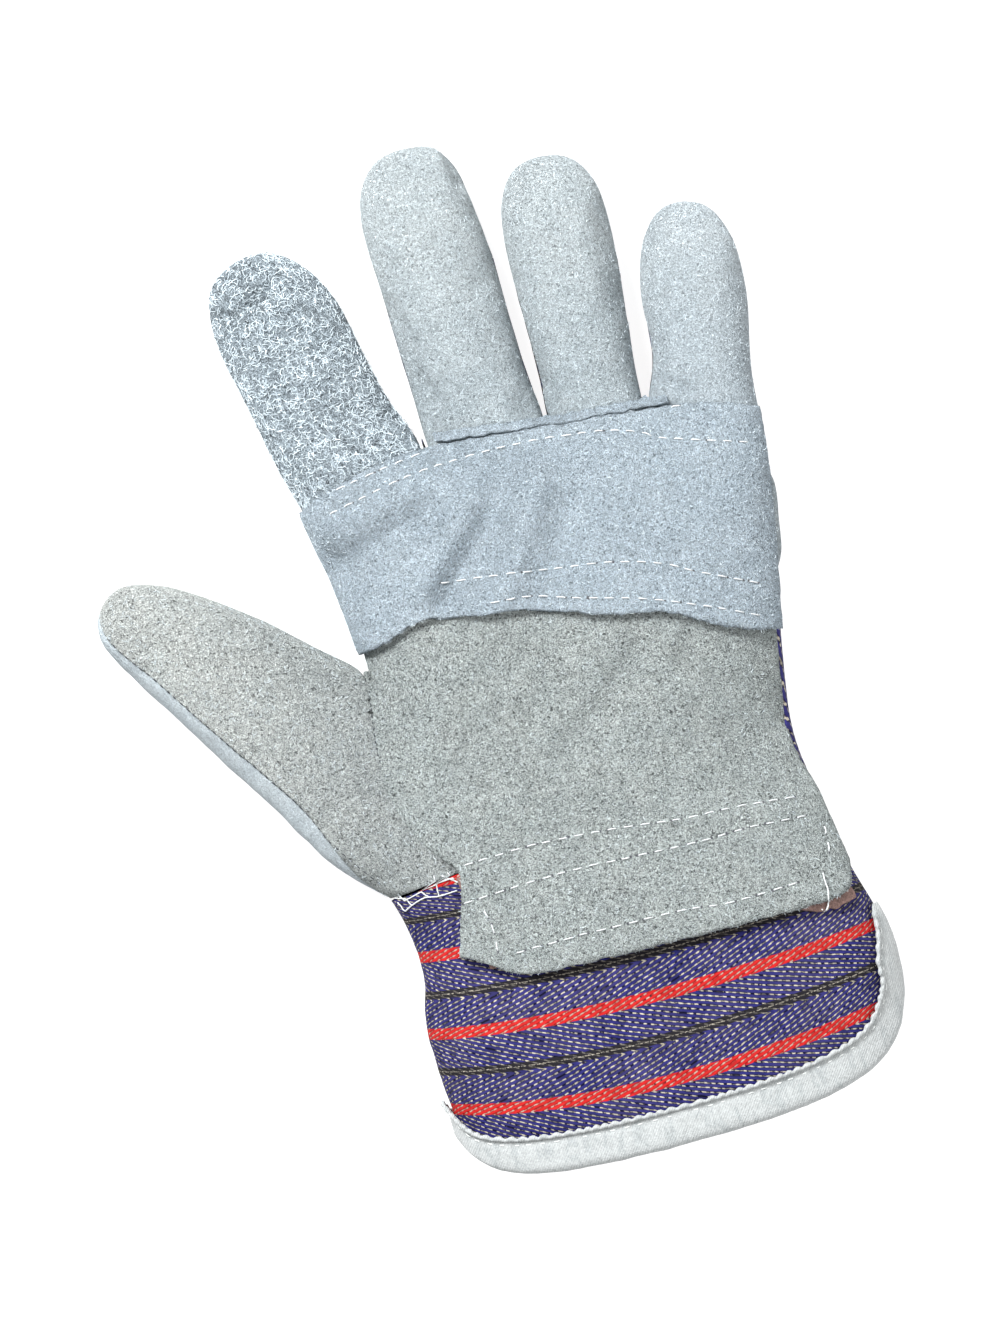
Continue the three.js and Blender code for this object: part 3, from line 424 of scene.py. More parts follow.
def fibres(mesh, count, length, lift, curl, rng):
    """Fine curling fibres that stand in the nap of a skin, as lines."""
    faces = len(mesh.polygons)
    centres, normals, areas = np.zeros(3 * faces), np.zeros(3 * faces), np.zeros(faces)
    mesh.polygons.foreach_get("center", centres)
    mesh.polygons.foreach_get("normal", normals)
    mesh.polygons.foreach_get("area", areas)
    centres, normals = centres.reshape(-1, 3) / MM, normals.reshape(-1, 3)
    picks = rng.choice(faces, count, p=areas / areas.sum())
    lines = []
    for face in picks:
        normal = normals[face]
        side = np.cross(normal, (0.31, 0.95, 0.02))
        side /= np.linalg.norm(side)
        along = np.cross(normal, side)
        at = centres[face] + side * rng.uniform(-0.6, 0.6) + along * rng.uniform(-0.6, 0.6)
        turn = rng.uniform(0, 2 * math.pi)
        bend = rng.uniform(-curl, curl)
        reach = length * rng.uniform(0.5, 1.3)
        high = lift * rng.uniform(0.5, 1.2)
        rows = [(*(at - normal * 0.1), 1.0)]
        for k in range(1, 5):
            turn += bend / 4
            at = at + (side * math.cos(turn) + along * math.sin(turn)) * reach / 4
            rise = high * math.sin(math.pi * (0.15 + 0.2 * k))
            rows.append((*(at + normal * rise), 1 - 0.18 * k))
        lines.append(rows)
    return lines


def edge_fuzz(mesh, count, length, rng, keep):
    """Short fibres that stick out of a cut edge, as lines."""
    points, normals = points_and_normals(mesh)
    rim = [i for i in rim_points(mesh) if keep(points[i])]
    inner = points.mean(0)
    lines = []
    for i in rng.choice(rim, count):
        out = points[i] - inner
        out -= normals[i] * (out @ normals[i])
        out /= np.linalg.norm(out)
        side = np.cross(normals[i], out)
        lean = rng.uniform(-1.1, 1.1)
        run = (out * math.cos(lean) + side * math.sin(lean)) * length * rng.uniform(0.4, 1.2)
        start = points[i] - normals[i] * rng.uniform(0.1, 1.1) - out * 0.3 + side * rng.uniform(-0.5, 0.5)
        sag = normals[i] * rng.uniform(-0.25, 0.3)
        lines.append([(*start, 1), (*(start + run * 0.5 + sag), 0.8), (*(start + run + sag * 0.5), 0.3)])
    return lines


def arc_lengths(points):
    """How far each point lies round a sleeve that runs along y, from its slit at +x, in millimetres."""
    y_low, y_high = points[:, 1].min(), points[:, 1].max()
    levels, bins = 12, 72
    width, height = np.ptp(points[:, 0]) / 2, np.ptp(points[:, 2]) / 2
    middle_x, _, middle_z = (points.max(0) + points.min(0)) / 2
    angle = np.arctan2((points[:, 2] - middle_z) / height, (points[:, 0] - middle_x) / width) % (2 * math.pi)
    level = (points[:, 1] - y_low) / (y_high - y_low) * (levels - 1)
    slot = np.clip((angle / (2 * math.pi) * bins).astype(int), 0, bins - 1)
    around = (np.arange(bins) + 0.5) * 2 * math.pi / bins
    tables = []
    for k in range(levels):
        near = np.abs(level - k) < 0.75
        ring = np.full((bins, 2), np.nan)
        for b in range(bins):
            inside = near & (slot == b)
            if inside.any():
                ring[b] = points[inside][:, [0, 2]].mean(0)
        known = ~np.isnan(ring[:, 0])
        filled = [np.interp(around, around[known], ring[known, c], period=2 * math.pi) for c in (0, 1)]
        ring = np.stack(filled, 1)
        steps = np.linalg.norm(np.diff(ring, axis=0), axis=1)
        run = np.concatenate([[0], np.cumsum(steps)])
        tables.append(run - run[bins // 4])
    tables = np.array(tables)
    low = np.clip(np.floor(level).astype(int), 0, levels - 2)
    share = np.clip(level - low, 0, 1)
    spot = angle / (2 * math.pi) * bins - 0.5
    first = np.clip(np.floor(spot).astype(int), 0, bins - 2)
    part = spot - first

    def value(row):
        return tables[row, first] * (1 - part) + tables[row, first + 1] * part

    return value(low) * (1 - share) + value(low + 1) * share


def cloth_map(mesh, along, across):
    """Stores where each point lies in the cloth, in millimetres along and across the warp."""
    corners = np.zeros(len(mesh.loops), int)
    mesh.loops.foreach_get("vertex_index", corners)
    places = np.stack([along[corners], across[corners]], 1).astype(np.float32)
    mesh.uv_layers.new(name="cloth").data.foreach_set("uv", places.ravel())


class Nodes:
    """Builds a material's node tree with short calls."""

    def __init__(self, name):
        self.material = bpy.data.materials.new(name)
        self.material.use_nodes = True
        self.tree = self.material.node_tree
        self.shader = self.tree.nodes["Principled BSDF"]

    def add(self, kind, inputs=(), **settings):
        node = self.tree.nodes.new(kind)
        for key, value in settings.items():
            setattr(node, key, value)
        for key, value in dict(inputs).items():
            self.put(value, node.inputs[key])
        return node

    def put(self, value, socket):
        if isinstance(value, bpy.types.NodeSocket):
            self.tree.links.new(value, socket)
        else:
            socket.default_value = value

    def math(self, operation, *values):
        node = self.add("ShaderNodeMath", operation=operation)
        for value, socket in zip(values, node.inputs):
            self.put(value, socket)
        return node.outputs[0]

    def plus(self, first, second):
        return self.math("ADD", first, second)

    def times(self, first, second):
        return self.math("MULTIPLY", first, second)

    def mix(self, share, first, second, blend="MIX"):
        node = self.add("ShaderNodeMix", data_type="RGBA", blend_type=blend)
        for value, index in ((share, 0), (first, 6), (second, 7)):
            self.put(value, node.inputs[index])
        return node.outputs[2]

    def band(self, value, low, high, to_low=0.0, to_high=1.0):
        ranges = {"Value": value, "From Min": low, "From Max": high, "To Min": to_low, "To Max": to_high}
        return self.add("ShaderNodeMapRange", ranges, interpolation_type="SMOOTHSTEP").outputs["Result"]

    def noise(self, where, scale, detail=2.0, roughness=0.5, distortion=0.0):
        node = self.add("ShaderNodeTexNoise", {"Vector": where, "Scale": scale, "Detail": detail,
                                               "Roughness": roughness, "Distortion": distortion})
        return node.outputs["Fac"]

    def place(self, shift=(0.0, 0.0, 0.0), turn=(0.0, 0.0, 0.0), scale=(1000.0, 1000.0, 1000.0)):
        """Object coordinates in millimetres, moved, turned or stretched."""
        where = self.add("ShaderNodeTexCoord").outputs["Object"]
        return self.add("ShaderNodeMapping", {"Vector": where, "Location": shift, "Scale": scale,
                                              "Rotation": turn}).outputs["Vector"]

    def contour(self, value, width):
        """One along the thin curling lines where a noise passes its middle."""
        return self.band(self.math("ABSOLUTE", self.math("SUBTRACT", value, 0.5)), width, width * 0.3)

    def bump(self, height, distance, strength=1.0):
        settings = {"Height": height, "Distance": distance * MM, "Strength": strength}
        return self.add("ShaderNodeBump", settings).outputs["Normal"]

    def finish(self, colour, normal=None, roughness=0.95, sheen=0.0, specular=0.2):
        self.put(colour, self.shader.inputs["Base Color"])
        if normal is not None:
            self.put(normal, self.shader.inputs["Normal"])
        self.shader.inputs["Roughness"].default_value = roughness
        self.shader.inputs["Sheen Weight"].default_value = sheen
        self.shader.inputs["Sheen Roughness"].default_value = 0.6
        self.shader.inputs["Specular IOR Level"].default_value = specular
        return self.material


def rgb(colour):
    return (*colour, 1.0)


def shade(colour, factor):
    """A lighter or darker tone of a colour, never so light that its hue would go."""
    return (*[c * min(factor, 1 / max(colour)) for c in colour], 1.0)


def suede(name, colour, grain=0.8, contrast=1.0, fibrous=0.0, fade=None):
    """Split leather: a pitted nap over a soft, cloudy tone, with curling fibres where it is coarse.

    The fade tells how the tone runs along the piece: an axis, two places on it in millimetres, and the
    tone at each. Where it lightens the thumb's tip and the fingertips and darkens the finger roots, it is
    painted light and shade.
    """
    n = Nodes(name)
    where = n.place()
    fine = n.noise(where, 0.95 / grain, 4.0, 0.78, 0.6)
    pits = n.noise(n.place((7, 3, 1)), 1.2 / grain, 2.0, 0.6, 0.9)
    grit = n.noise(n.place((2, 9, 4)), 2.6, 2.0, 0.7)
    cloud = n.noise(where, 0.12, 3.0, 0.6)
    low, high = shade(colour, 1 - 0.46 * contrast), shade(colour, 1 + 0.45 * contrast)
    tone = n.mix(n.band(fine, 0.32, 0.68), low, high)
    height = n.plus(n.times(fine, 0.8), n.times(grit, 0.14))
    layers = ((0.8, 0.05, 0.7), (1.2, 0.06, 0.7))
    if fibrous:
        layers = ((0.6, 0.04, 0.8), (0.95, 0.05, 0.85), (0.42, 0.022, 0.6))
    for k, (size, width, strength) in enumerate(layers):
        shadow = n.contour(n.noise(n.place((3 * k + 4.6, 5 * k + 1.2, k)), size, 2.0, 0.55, 1.6), 1.4 * width)
        full = min(strength * contrast, 1)
        tone = n.mix(n.times(shadow, full), tone, shade(colour, 0.36))
        height = n.plus(height, n.times(shadow, -0.3 * strength))
        hairs = n.contour(n.noise(n.place((3 * k, 5 * k, k)), size, 2.0, 0.55, 1.6), width)
        tone = n.mix(n.times(hairs, full), tone, shade(colour, 1.5 - 0.15 * fibrous))
        height = n.plus(height, n.times(hairs, 0.35 * strength))
    tone = n.mix(n.band(pits, 0.59, 0.64, 0.0, min(0.85 * contrast, 1)), tone, shade(colour, 0.24))
    height = n.plus(height, n.times(n.band(pits, 0.6, 0.68), -0.4))
    tone = n.mix(n.band(grit, 0.38, 0.62), tone, n.mix(1.0, tone, (0.72, 0.73, 0.75, 1), "MULTIPLY"))
    mottle = n.mix(n.band(cloud, 0.3, 0.7), (0.95, 0.96, 0.965, 1), (1.05, 1.045, 1.04, 1))
    tone = n.mix(1.0, tone, mottle, "MULTIPLY")
    # The fade multiplies the tone along one axis; where it lights the thumb's tip and the fingertips and
    # darkens the finger roots, it is painted light and shade.
    if fade:
        axis, start, stop, at_start, at_stop = fade
        place = n.add("ShaderNodeSeparateXYZ", {"Vector": where}).outputs[axis]
        run = n.mix(n.band(place, start, stop), rgb(at_start), rgb(at_stop))
        tone = n.mix(1.0, tone, run, "MULTIPLY")
    depth = 1.3 * (1 + 0.3 * fibrous) * (0.5 + 0.5 * contrast)
    return n.finish(tone, n.bump(height, depth), specular=0.08)


# The drill in millimetres: from twill line to line, from weft dot to dot on a line, from red stripe to
# stripe, and half the widths of the stripes. The slant is how far a twill line drifts across the warp on
# its way along it.
LINE_PITCH = 1.3
DOT_PITCH = 2.0
SLANT = 0.36
STRIPE_REPEAT = 22.7
RED_HALF = 1.65
BLACK_HALF = 1.15
BLACK_CORE = 0.16


def drill_cloth(name, colours):
    """Blue herringbone drill with cream weft showing through, red stripes and fine black double lines."""
    n = Nodes(name)
    where = n.add("ShaderNodeUVMap", uv_map="cloth").outputs["UV"]
    split = n.add("ShaderNodeSeparateXYZ", {"Vector": where})
    along = split.outputs["X"]
    stray = n.times(n.math("SUBTRACT", n.noise(where, 0.5, 2.0), 0.5), 0.45)
    across = n.plus(split.outputs["Y"], stray)

    def from_line(shift):
        moved = n.plus(across, shift + STRIPE_REPEAT / 2)
        repeat = n.math("FRACT", n.math("DIVIDE", moved, STRIPE_REPEAT))
        return n.times(n.math("ABSOLUTE", n.math("SUBTRACT", repeat, 0.5)), STRIPE_REPEAT)

    from_red, from_black = from_line(0.0), from_line(STRIPE_REPEAT / 2)
    # The twill turns back at each red stripe's lower edge and halfway between them.
    lines = n.plus(from_line(RED_HALF), n.times(along, SLANT))
    lines = n.math("DIVIDE", lines, LINE_PITCH)
    row = n.math("FLOOR", lines)
    off = n.math("ABSOLUTE", n.math("SUBTRACT", n.math("FRACT", lines), 0.5))
    wander = n.times(n.math("SUBTRACT", n.noise(where, 0.7, 2.0), 0.5), 1.1)
    lag = n.add("ShaderNodeTexWhiteNoise", {"W": row}, noise_dimensions="1D").outputs["Value"]
    phase = n.plus(n.math("DIVIDE", n.plus(along, wander), DOT_PITCH), lag)
    in_dot = n.math("ABSOLUTE", n.math("SUBTRACT", n.math("FRACT", phase), 0.5))
    seat = n.add("ShaderNodeCombineXYZ", {"X": row, "Y": n.math("FLOOR", phase)})
    seat = seat.outputs[0]
    luck = n.add("ShaderNodeTexWhiteNoise", {"Vector": seat}, noise_dimensions="2D").outputs["Value"]
    groove = n.band(off, 0.26, 0.12)
    dot = n.times(n.band(off, 0.2, 0.1), n.band(in_dot, 0.29, 0.17))
    broken = n.band(n.noise(where, 0.8, 2.0), 0.42, 0.58, 0.0, 0.6)
    dash = n.times(n.band(off, 0.14, 0.06), broken)

    red = n.band(from_red, RED_HALF + 0.06, RED_HALF - 0.06)
    black = n.band(from_black, BLACK_HALF + 0.05, BLACK_HALF - 0.05)
    core = n.band(from_black, BLACK_CORE + 0.05, BLACK_CORE - 0.05)
    blue = n.mix(luck, shade(colours.blue, 0.75), shade(colours.blue, 1.45))
    blue = n.mix(n.band(n.noise(where, 0.06, 3.0), 0.35, 0.65, 0.0, 0.12), blue, (0.09, 0.075, 0.14, 1))
    yarn = n.mix(red, blue, n.mix(luck, shade(colours.red, 0.85), shade(colours.red, 1.15)))
    # Painted shade darkens the grooves between the twill lines, and painted light lifts the yarn between them
    # a little.
    yarn = n.mix(1.0, yarn, n.mix(groove, (1.12, 1.12, 1.12, 1), (0.16, 0.16, 0.2, 1)), "MULTIPLY")
    yarn = n.mix(n.times(groove, n.times(red, 0.75)), yarn, rgb(colours.red))
    yarn = n.mix(black, yarn, (0.01, 0.009, 0.012, 1))
    cream = n.mix(luck, shade(colours.cream, 0.62), shade(colours.cream, 1.35))
    shown = n.math("MAXIMUM", dot, dash)
    shown = n.times(shown, n.math("SUBTRACT", 0.95, n.times(red, 0.3)))
    shown = n.times(shown, n.math("SUBTRACT", 1.0, n.times(black, 0.75)))
    shown = n.times(shown, n.band(luck, 0.0, 0.04))
    flecks = n.band(n.noise(where, 1.5, 2.0), 0.42, 0.56, 0.0, 0.75)
    shown = n.math("MAXIMUM", shown, n.times(core, flecks))
    tone = n.mix(shown, yarn, cream)
    specks = n.times(groove, n.band(in_dot, 0.3, 0.4))
    specks = n.times(n.math("GREATER_THAN", luck, 0.96), specks)
    tone = n.mix(specks, tone, (0.012, 0.01, 0.016, 1))
    height = n.plus(n.times(groove, -0.8), n.times(shown, 0.8))
    return n.finish(tone, n.bump(height, 0.3), roughness=0.85, specular=0.1)


def twill_tape(name, colour):
    """White cotton tape: a fine slanting rib and soft creases, with painted shade in the rib's troughs and in
    the creases.
    """
    n = Nodes(name)
    where = n.place(turn=(0.0, 0.0, 0.6))
    split = n.add("ShaderNodeSeparateXYZ", {"Vector": where})
    ribs = n.math("SINE", n.times(split.outputs["X"], 2 * math.pi / 0.62))
    picks = n.noise(where, 1.6, 3.0, 0.7)
    creases = n.noise(n.place(scale=(1000, 350, 1000), turn=(0, 0, 0.5)), 0.33, 3.0, 0.6, 0.6)
    tone = n.mix(n.band(picks, 0.3, 0.7), shade(colour, 0.82), shade(colour, 1.15))
    # Painted shade darkens the troughs of the rib and greys the creases.
    tone = n.mix(n.band(ribs, -0.9, 0.3), n.mix(1.0, tone, (0.86, 0.87, 0.88, 1), "MULTIPLY"), tone)
    painted_crease_shade = n.mix(1.0, tone, (0.7, 0.73, 0.74, 1), "MULTIPLY")
    tone = n.mix(n.band(creases, 0.5, 0.36, 0.0, 0.5), tone, painted_crease_shade)
    height = n.plus(picks, n.times(creases, 1.5))
    height = n.plus(n.times(ribs, 0.16), height)
    return n.finish(tone, n.bump(height, 0.25, 0.8), roughness=0.9, sheen=0.1, specular=0.15)


def fibre_board(name, colour):
    """The stiffener: brown pressed fibre."""
    n = Nodes(name)
    where = n.place()
    felt = n.noise(where, 1.1, 4.0, 0.75, 0.8)
    hairs = n.contour(n.noise(n.place((4, 4, 0)), 0.5, 2.0, 0.5, 1.8), 0.02)
    tone = n.mix(n.band(felt, 0.3, 0.7), shade(colour, 0.55), shade(colour, 1.4))
    tone = n.mix(n.times(hairs, 0.5), tone, shade(colour, 1.9))
    return n.finish(tone, n.bump(n.plus(felt, n.times(hairs, 0.3)), 0.4, 0.9), sheen=0.05)


def thread(name, colour):
    """Spun thread, with its plies as slanting ribs and painted shade between them."""
    n = Nodes(name)
    split = n.add("ShaderNodeSeparateXYZ", {"Vector": n.place(turn=(0.4, 0.3, 0.7))})
    plies = n.math("SINE", n.times(split.outputs["X"], 2 * math.pi / 0.35))
    worn = n.noise(n.place(), 1.7, 2.0, 0.6)
    # Painted shade darkens the thread between its plies.
    tone = n.mix(n.band(plies, -0.9, 0.4), shade(colour, 0.7), rgb(colour))
    tone = n.mix(n.band(worn, 0.35, 0.65), shade(colour, 0.8), tone)
    return n.finish(tone, n.bump(plies, 0.06, 0.8), roughness=0.8, sheen=0.1)


def length(name, description, value):
    return FloatProperty(name=name, description=description, default=value * MM, unit="LENGTH")


def tint(name, description, colour):
    return FloatVectorProperty(name=name, description=description, default=colour, subtype="COLOR")


class GloveSizes(bpy.types.PropertyGroup):
    leather: length("Leather", "Thickness of the leather", 1.4)
    cloth: length("Cloth", "Thickness of the drill", 1.0)
    board: length("Stiffener", "Thickness of the stiffener", 1.0)
    pitch: length("Stitch pitch", "From stitch to stitch on the leather", 4.4)
    stitch: length("Stitch length", "Length of one stitch on the leather", 2.9)
    hairs: IntProperty(name="Fibres", description="Loose fibres on the index finger", default=2400)


class GloveColours(bpy.types.PropertyGroup):
    palm: tint("Palm", "Leather of the palm", (0.54, 0.592, 0.58))
    thumb: tint("Thumb", "Leather of the thumb", (0.53, 0.565, 0.555))
    patch: tint("Patch", "Leather of the palm patch", (0.70, 0.82, 0.91))
    little: tint("Little finger", "Leather of the little finger", (0.84, 0.935, 0.98))
    index: tint("Index", "Leather of the index finger", (0.50, 0.585, 0.64))
    pale: tint("Fingers", "Leather of the other fingers", (0.785, 0.87, 0.905))
    blue: tint("Drill", "Warp of the drill", (0.0105, 0.0105, 0.068))
    red: tint("Red stripe", "Warp of the wide stripes", (0.29, 0.0095, 0.009))
    cream: tint("Weft", "Unbleached weft of the drill", (0.31, 0.285, 0.235))
    tape: tint("Tape", "Tape on the hem", (0.335, 0.35, 0.35))
    board: tint("Stiffener", "Fibre board in the cuff", (0.185, 0.115, 0.10))
    floor: tint("Floor", "Floor", (0.94, 0.94, 0.94))


def thumb_gap():
    """Points along the gap between the palm's skin and the thumb's, from the cuff to the fork."""
    rims = []
    for node in ("palm_leather", "thumb_front"):
        mesh = bpy.data.objects[node + "_skin"].data
        points, _ = points_and_normals(mesh)
        rims.append(points[rim_points(mesh)])
    tree = KDTree(len(rims[1]))
    for i, place in enumerate(rims[1]):
        tree.insert(place, i)
    tree.balance()
    middles = []
    for place in rims[0]:
        other, _, apart = tree.find(place)
        if apart < 2.5 and line_distance(place[None], THUMB_SEAM)[0] < 7:
            middles.append((place + np.array(other)) / 2)
    middles = np.array(sorted(middles, key=lambda place: place[1]))
    levels = np.linspace(middles[0, 1], middles[-1, 1], 26)
    nearby = [np.abs(middles[:, 1] - level) < 1.6 for level in levels]
    return smooth_line([middles[near].mean(0) for near in nearby if near.any()], 0.6)


def seam_filler(material):
    """The turned-in edges of palm and thumb that close their seam, deeper at the fork than at the cuff."""
    path = thumb_gap()
    depth = np.interp(np.linspace(0, 1, len(path)), (0, 0.45, 0.6, 1), (0.45, 0.45, 0.75, 0.8))
    rows = [(x, y, z - deep, 1.0) for (x, y, z), deep in zip(path, depth)]
    strands("thumb_seam", [rows], 0.75, material, 2)


class GLOVE_OT_leather(bpy.types.Operator):
    """Dress the palm, patch, fingers and thumb in napped leather"""

    bl_idname = "glove.leather"
    bl_label = "Leather"

    def execute(self, context):
        sizes, colours = context.scene.glove_sizes, context.scene.glove_colours
        thick = sizes.leather / MM
        # The thumb and finger fades are painted light and shade: the thumb's tip and the fingertips lighter,
        # the finger roots darker, as the light falls on them.
        root_painted_shade, plain = (0.86, 0.88, 0.9), (1.0, 1.0, 1.0)
        thumb_tip_painted_light = ("X", -60, -112, (0.93, 0.94, 0.94), (1.32, 1.3, 1.28))
        finger_painted_light_and_shade = ("Y", 45, 105, (0.88, 0.9, 0.91), (1.03, 1.03, 1.02))
        palm = suede("palm_suede", colours.palm, 0.8, 1.3)
        thumb = suede("thumb_suede", colours.thumb, 0.85, 1.1, fade=thumb_tip_painted_light)
        patch = suede("patch_suede", colours.patch, 0.75, 0.95)
        little = suede("little_suede", colours.little, 0.8, 0.65, fade=("Y", 38, 85, root_painted_shade, plain))
        index = suede("index_suede", colours.index, 1.05, 1.1, 1.0)
        pale = suede("pale_suede", colours.pale, 0.9, 0.75, fade=finger_painted_light_and_shade)
        smooth = suede("smooth_suede", colours.little, 0.9, 0.35, fade=("Y", -70, 20, (0.9, 0.9, 0.9), plain))
        skin_piece("palm_leather", palm, thick, ragged=0.3)
        skin_piece("palm_patch", patch, thick, ragged=0.35, snug=0.7)
        skin_piece("finger_base_welt", patch, thick, roll=0, ragged=0.4)
        skin_piece("thumb_front", thumb, thick)
        skin_piece("thumb_back", smooth, thick, palm_side=False)
        seam_filler(palm)
        skin_piece("index_front", index, thick)
        skin_piece("index_back", index, thick, palm_side=False)
        for finger, slot, leather in (("middle", "pale_suede", pale), ("ring", "pale_suede", pale),
                                      ("little", "patch_suede", little)):
            skin_piece(finger + "_front", leather, thick)
            skin_piece(finger + "_tip", leather, thick, palm_side=False)
        skin_piece("knuckle_strap", pale, thick, palm_side=False, ragged=0.3, tuck=0.7,
                   snug=0.8)
        return {"FINISHED"}


class GLOVE_OT_drill(bpy.types.Operator):
    """Dress the cuff, the back and the finger backs in striped drill"""

    bl_idname = "glove.drill"
    bl_label = "Drill"

    def execute(self, context):
        sizes, colours = context.scene.glove_sizes, context.scene.glove_colours
        drill = drill_cloth("drill", colours)
        thick = sizes.cloth / MM
        cuff = skin_piece("cuff", drill, thick, palm_side=False, roll=0)
        points, _ = points_and_normals(cuff.data)
        wrist, half_width, bow = -73, 62, 0.094
        across = (points[:, 1] - wrist) * (1 + bow * (points[:, 0] / half_width) ** 2)
        # The first red stripe shows beside the thumb, and all of them climb a little to the right.
        across += 1.8 * smoothstep(points[:, 0], -36, -44) * smoothstep(across, -12, -2)
        across -= 1.5 + 1.7 * smoothstep(points[:, 0], -58, 31)
        cloth_map(cuff.data, arc_lengths(points), across)
        for node in ("back_panel", "middle_back", "ring_back", "little_back"):
            panel = skin_piece(node, drill, thick, palm_side=False)
            points, _ = points_and_normals(panel.data)
            plan = points[:, :2] - points[:, :2].mean(0)
            run, middle = np.array([0.0, 1.0]), 0.0
            if node != "back_panel":
                # A black line runs down the middle of each finger's back.
                run, middle = np.linalg.svd(plan, full_matrices=False)[2][0], STRIPE_REPEAT / 2
            run = run * np.sign(run[1])
            side = np.array([run[1], -run[0]])
            off = plan @ side
            # The cloth turns up the sides, so that height counts there as well.
            upturn = points[:, 2] * np.clip(off / 12, -1, 1)
            cloth_map(panel.data, plan @ run, middle + off + upturn)
        board = fibre_board("fibre_board", colours.board)
        thick = sizes.board / MM
        skin_piece("cuff_stiffener", board, thick, palm_side=False, roll=0, ragged=0.5)
        return {"FINISHED"}


def tape_edge():
    """The tape's inner edge on the outside of the cuff, in order, with the way out of the cuff."""
    cuff = outer_skin("cuff")
    tree = BVHTree.FromBMesh(cuff)
    rim = [v.co.copy() for v in cuff.verts if v.is_boundary]
    cuff.free()
    near = KDTree(len(rim))
    for i, place in enumerate(rim):
        near.insert(place, i)
    near.balance()
    bm = welded("hem_binding")
    chain, way = {}, {}
    for edge in sharp_edges(bm):
        ends = []
        for v in edge.verts:
            place, normal, _, _ = tree.find_nearest(v.co)
            out = (v.co - place).dot(normal)
            if out > 1.0 * MM and near.find(v.co)[2] > 2.6 * MM:
                ends.append(v.index)
                way[v.index] = (v.co / MM, normal.copy())
        if len(ends) == 2:
            chain.setdefault(ends[0], []).append(ends[1])
            chain.setdefault(ends[1], []).append(ends[0])
    bm.free()
    runs = []
    unused = set(chain)
    while unused:
        start = next((i for i in sorted(unused) if len(chain[i]) == 1), min(unused))
        run, here = [], start
        while here is not None:
            run.append(here)
            unused.discard(here)
            here = next((i for i in chain[here] if i in unused), None)
        runs.append(run)
    run = max(runs, key=len)
    return np.array([(*way[i][0], *way[i][1]) for i in run])


class GLOVE_OT_tape(bpy.types.Operator):
    """Bind the hem and the slit with white tape, its scalloped inner edge and its stitches"""

    bl_idname = "glove.tape"
    bl_label = "Tape"

    def execute(self, context):
        colours = context.scene.glove_colours
        tape = twill_tape("white_twill", colours.tape)
        path = smooth_line(tape_edge(), 0.4)
        mesh = finer(squared(welded("hem_binding")), "hem_binding_tape")
        points, normals = points_and_normals(mesh)
        tree = KDTree(len(path))
        for i, row in enumerate(path):
            tree.insert(row[:3], i)
        tree.balance()
        away = np.array([tree.find(p)[2] for p in points])
        raised = 0.12 * lattice_noise(points, 4.1, 21) + 0.08 * lattice_noise(points, 1.6, 22)
        raised -= 0.12 * np.exp(-(((away - 1.7) / 0.8) ** 2))
        points += normals * raised[:, None]
        points[:, 2] = np.maximum(points[:, 2], 0.02)
        set_points(mesh, points)
        shade_smooth(mesh)
        new_object("hem_binding_tape", mesh, "hem_binding", tape)

        rng = np.random.default_rng(31)
        places, outs = path[:, :3], path[:, 3:].copy()
        outs /= np.linalg.norm(outs, axis=1)[:, None]
        runs = np.gradient(places, axis=0)
        runs /= np.linalg.norm(runs, axis=1)[:, None]
        sides = np.cross(outs, runs)
        far = np.arange(len(places)) * 0.4
        swell = 0.5 + 0.5 * np.sin(2 * math.pi * far / 3.0 + 2.2 * np.sin(far / 7) + 1.1 * np.sin(far / 2.9))
        ridge = places + outs * (0.12 + 0.18 * swell)[:, None] + sides * (0.42 * swell - 0.2)[:, None]
        edge = [(*p, 0.75 + 0.4 * s) for p, s in zip(ridge, swell)][12:-12]
        strands("tape_edge", [edge], 0.62, tape, 2)
        inner = np.sign(((places.mean(0) - places) * sides).sum(1).mean())
        dashes = []
        for start in np.arange(4, len(places) - 12, 9.5):
            i = int(start + rng.uniform(0, 2.5))
            dash = []
            for k, rise, size in ((i, -0.75, 0.6), (i + 2, -0.3, 1), (i + 4, -0.3, 1), (i + 6, -0.75, 0.6)):
                dash.append((*(places[k] - sides[k] * inner * 1.6 + outs[k] * rise), size))
            dashes.append(dash)
        strands("tape_stitches", dashes, 0.2, thread("tape_thread", (0.72, 0.75, 0.74)), 1)
        return {"FINISHED"}


